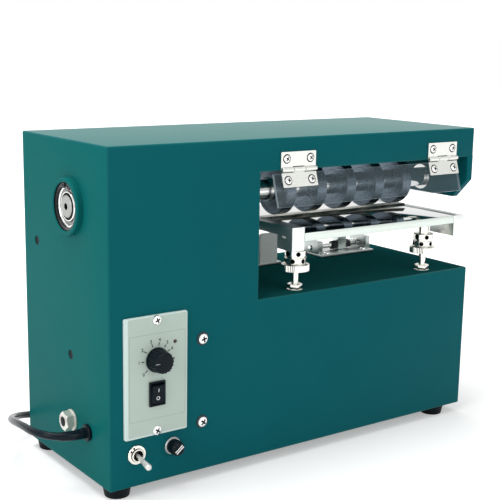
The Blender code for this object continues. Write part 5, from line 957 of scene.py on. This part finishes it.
def make_switches():
    x, z = TOGGLE
    bush = turned([
        (0, -0.2), (3.0, -0.2), (4.7, 4.6), (5.2, 4.8), (5.9, 4.2), (5.9, 2.5), (6.3, 2.5), (6.3, 2.9),
        (8.4, 2.6), (8.8, 2.0), (8.8, 0.3), (6, 0.3), (6, -3.5), (0, -3.5),
    ], (x, 0, z), "front", 72)
    # The mouth, the groove and the two dimples take painted shade
    marked(bush, 1, lambda face: -4.7 < middle(face).y < 0.3 and apart(face, x=x, z=z) < 4.7)
    marked(bush, 1, lambda face: 5.85 < apart(face, x=x, z=z) < 6.2 and middle(face).y < -2.4)
    dimples = []
    for degrees in (116, 146):
        across, up = round_spot((x, z), 7.4, degrees)
        dimples.append(rod(1.0, 1.2, 5, (across, 0, up), "front", 20))
    case = softened(block((16.8, 2.8, 28.2), (34.8, 28.8, 52.2)), 0.6)
    bush = marked(carved(bush, *dimples), 1, lambda face: -2.5 < middle(face).y < -0.4
                  and 6.3 < apart(face, x=x, z=z) < 8.5 and face.calc_area() < 2.5)
    settle("toggle_bush", merged(bush, case), (BRASS, PAINTED_SHADE), "nickel", "housing",
           "toggle_switch_body", edge=0.12)
    lever = turned([
        (0, 22.5), (1.7, 22.2), (2.6, 21.2), (2.9, 19.7), (2.8, 18), (2.3, 12.5), (1.9, 6), (1.6, 0),
        (1.2, -1.4), (0, -1.7),
    ], steps=48)
    lean = Matrix.Translation((x, -2.1, z)) @ Matrix.Rotation(math.radians(103), 4, "X")
    settle("toggle_bat", placed(lever, lean), CHROME, "bright_steel", "toggle", "toggle_lever")

    x, z = FUSE
    holder = turned([
        (0, -8.9), (4.1, -8.9), (4.1, 2.1), (7.3, 2.1), (8.1, 1.2), (8.1, 0.3), (6, 0.3), (6, -36), (0, -36),
    ], (x, 0, z), "front", 72)
    settle("fuse_holder_ring", holder, ALLOY, "nickel", "housing", "fuse_holder", edge=0.12)
    skirt = plate(fluted(6.65, 0.15, 24, 120), 2.7, 9.4, "above")
    dome = turned([(0, 13.2), (3.6, 13.1), (5.3, 12.3), (6.3, 10.8), (6.6, 9.2), (0, 9.2)], steps=72)
    stem = rod(3.5, -7.3, 3, steps=32)
    cap = merged(carved(dome, block((-4.7, -1.6, 12.0), (4.7, 1.6, 14))), skirt, stem)
    turn = at(x, 0, z, "front", 38)
    settle("fuse_cap_moulding", placed(cap, turn), BLACK, "black_plastic", "fuse_cap",
           "fuse_cap", edge=0.15)
    bars = [softened(block((-4.6, low, 11.8), (4.6, low + 1.1, 12.9)), 0.1, 1) for low in (-1.6, 0.5)]
    settle("fuse_slot_insert", placed(merged(*bars), turn), SCREW_STEEL, "nickel", "fuse_cap")


def make_motor_mount():
    slab = softened(block((90.5, 2.8, 12.8), (98.5, 132.8, 154.8)), 0.6)
    slab = carved(slab, rod(17.3, 88, 101, (0, 68, 113.6), "right"))
    settle("motor_mount_slab", slab, BRACKET_ZINC, "zinc_steel", "housing", "motor_mount_plate")
    heads = repeated(pan_screw(5.0, 2.9, 2.4, 16),
                     [at(x, -0.3, z, "front", turn) for (x, z), turn in zip(MOUNT_SCREWS, (12, 52))])
    settle("mount_screws", heads, (SCREW_STEEL, PAINTED_SHADE), "zinc_steel", "housing")
    washers = [ring(6.1, 2.5, -0.1, 0.5, (x, 0, z), "front", 48) for x, z in MOUNT_SCREWS]
    settle("mount_washers", merged(*washers), DARK_STEEL, "dark_steel", "housing", edge=0.1)


def make_side_fittings():
    y, z = SIDE_BOLT
    head = hexagon(16, 1.8, 9.8, turn=12)
    trim = turned([(0, 9.9), (7.4, 9.8), (9.4, 8.7), (9.6, 1.5), (0, 1.5)], steps=64)
    spare = carved(rod(30, 0, 20, steps=64), trim)
    head = carved(head, spare)
    # A thin disc on the head's outer face, all in painted shade, stands for a dark hollow there
    shade_disc = turned([(0, 10.0), (4.4, 10.0), (4.6, 9.9), (4.6, 9.0), (0, 9.0)], steps=48)
    marked(shade_disc, 1, lambda face: True)
    washer = ring(9.8, 4.1, 0.3, 1.8)
    shank = rod(4, -14, 2)
    bolt = placed(merged(head, shade_disc, washer, shank), at(0, y, z, "left"))
    settle("side_hex_bolt", bolt, (BOLT_ZINC, PAINTED_SHADE), "zinc_steel", "housing", "side_bolt", edge=0.15)
    bushing = turned([
        (4.6, 8.3), (4.9, 7.9), (4.9, 3.3), (6.9, 3.3), (7.6, 2.6), (7.6, 0.3), (6, 0.3), (6, -22),
        (3.8, -22), (3.8, 8.3), (4.6, 8.3),
    ], (0, *CORD_EXIT), "left", 56)
    settle("lead_bushing", bushing, BLACK, "black_plastic", "housing", "cord_bushing", edge=0.2)


def finish_inner_parts():
    """Better surfaces for the solids that stay, inside the housing."""
    for finish, names in (
        (ALLOY, ("driven_pulley", "motor_pulley", "gearbox")),
        (BELT, ("v_belt",)),
        (MOTOR, ("motor_body",)),
        (BLACK, ("speed_controller",)),
    ):
        for name in names:
            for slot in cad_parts[name].material_slots:
                slot.material = finish


# Floor, background and light

def either(nodes, links, first, second):
    """One where one of two answers is one, and else nought."""
    chosen = nodes.new("ShaderNodeMath")
    chosen.operation = "MAXIMUM"
    links.new(first, chosen.inputs[0])
    links.new(second, chosen.inputs[1])
    return chosen.outputs[0]


def make_studio():
    floor = bpy.data.materials.new("pale_floor")
    floor.use_nodes = True
    nodes, links = floor.node_tree.nodes, floor.node_tree.links
    shader = nodes["Principled BSDF"]
    shader.inputs["Base Color"].default_value = (0.80, 0.80, 0.80, 1)
    shader.inputs["Roughness"].default_value = 0.7
    shader.inputs["Specular IOR Level"].default_value = 0
    shader.inputs["Emission Color"].default_value = (1, 1, 1, 1)
    path = nodes.new("ShaderNodeLightPath")
    seen = either(nodes, links, path.outputs["Is Camera Ray"], path.outputs["Is Glossy Ray"])
    place = nodes.new("ShaderNodeTexCoord")
    reach = nodes.new("ShaderNodeVectorMath")
    reach.operation = "LENGTH"
    links.new(place.outputs["Object"], reach.inputs[0])
    far = nodes.new("ShaderNodeMapRange")
    far.interpolation_type = "SMOOTHSTEP"
    for way, ends in (("From", FLOOR_GLOW_REACH), ("To", FLOOR_GLOW)):
        far.inputs[f"{way} Min"].default_value, far.inputs[f"{way} Max"].default_value = ends
    links.new(reach.outputs["Value"], far.inputs["Value"])
    glow = nodes.new("ShaderNodeMapRange")
    links.new(far.outputs["Result"], glow.inputs["To Max"])
    links.new(seen, glow.inputs["Value"])
    links.new(glow.outputs["Result"], shader.inputs["Emission Strength"])
    form = bmesh.new()
    bmesh.ops.create_grid(form, x_segments=2, y_segments=2, size=6)
    mesh = meshed(form, "studio_floor")
    mesh.materials.append(floor)
    set_out("studio_floor", mesh)

    world = bpy.data.worlds.new("studio_light")
    bpy.context.scene.world = world
    world.use_nodes = True
    nodes, links = world.node_tree.nodes, world.node_tree.links
    light = nodes["Background"]
    path = nodes.new("ShaderNodeLightPath")
    seen = either(nodes, links, path.outputs["Is Camera Ray"], path.outputs["Is Glossy Ray"])
    through = either(nodes, links, seen, path.outputs["Is Transmission Ray"])
    level = nodes.new("ShaderNodeMapRange")
    level.inputs["To Min"].default_value = ROOM_LIGHT
    level.inputs["To Max"].default_value = 1.0
    links.new(through, level.inputs["Value"])
    links.new(level.outputs["Result"], light.inputs["Strength"])
    light.inputs["Color"].default_value = (1, 1, 1, 1)

    def lamp(name, power, size, stand, aim):
        data = bpy.data.lights.new(name, "AREA")
        data.shape = "RECTANGLE"
        data.size, data.size_y = size
        data.energy = power
        made = set_out(name, data)
        made.location = stand
        made.rotation_mode = "QUATERNION"
        made.rotation_quaternion = (Vector(aim) - Vector(stand)).to_track_quat("-Z", "Y")

    lamp("top_light", 24, (1.4, 1.0), (-0.2, 0.25, 1.6), (0, 0, 0.2))
    lamp("left_light", 9, (0.8, 1.0), (-1.6, -0.4, 0.8), (0, 0, 0.15))
    lamp("front_light", 6, (1.0, 0.8), (0.3, -1.8, 0.8), (0, 0, 0.15))
    bpy.context.scene.view_settings.view_transform = "Standard"


place_camera()
make_cord()
make_housing()
make_left_bearing()
make_arbor()
make_table()
make_jack("left", 210.8)
make_jack("right", 380.6)
make_pivot("left", 194.5, 222.5, -1)
make_pivot("right", 327.0, 364.0, 1)
make_hinges()
make_guard()
make_panel()
make_knob()
make_switches()
make_motor_mount()
make_side_fittings()
finish_inner_parts()
make_studio()
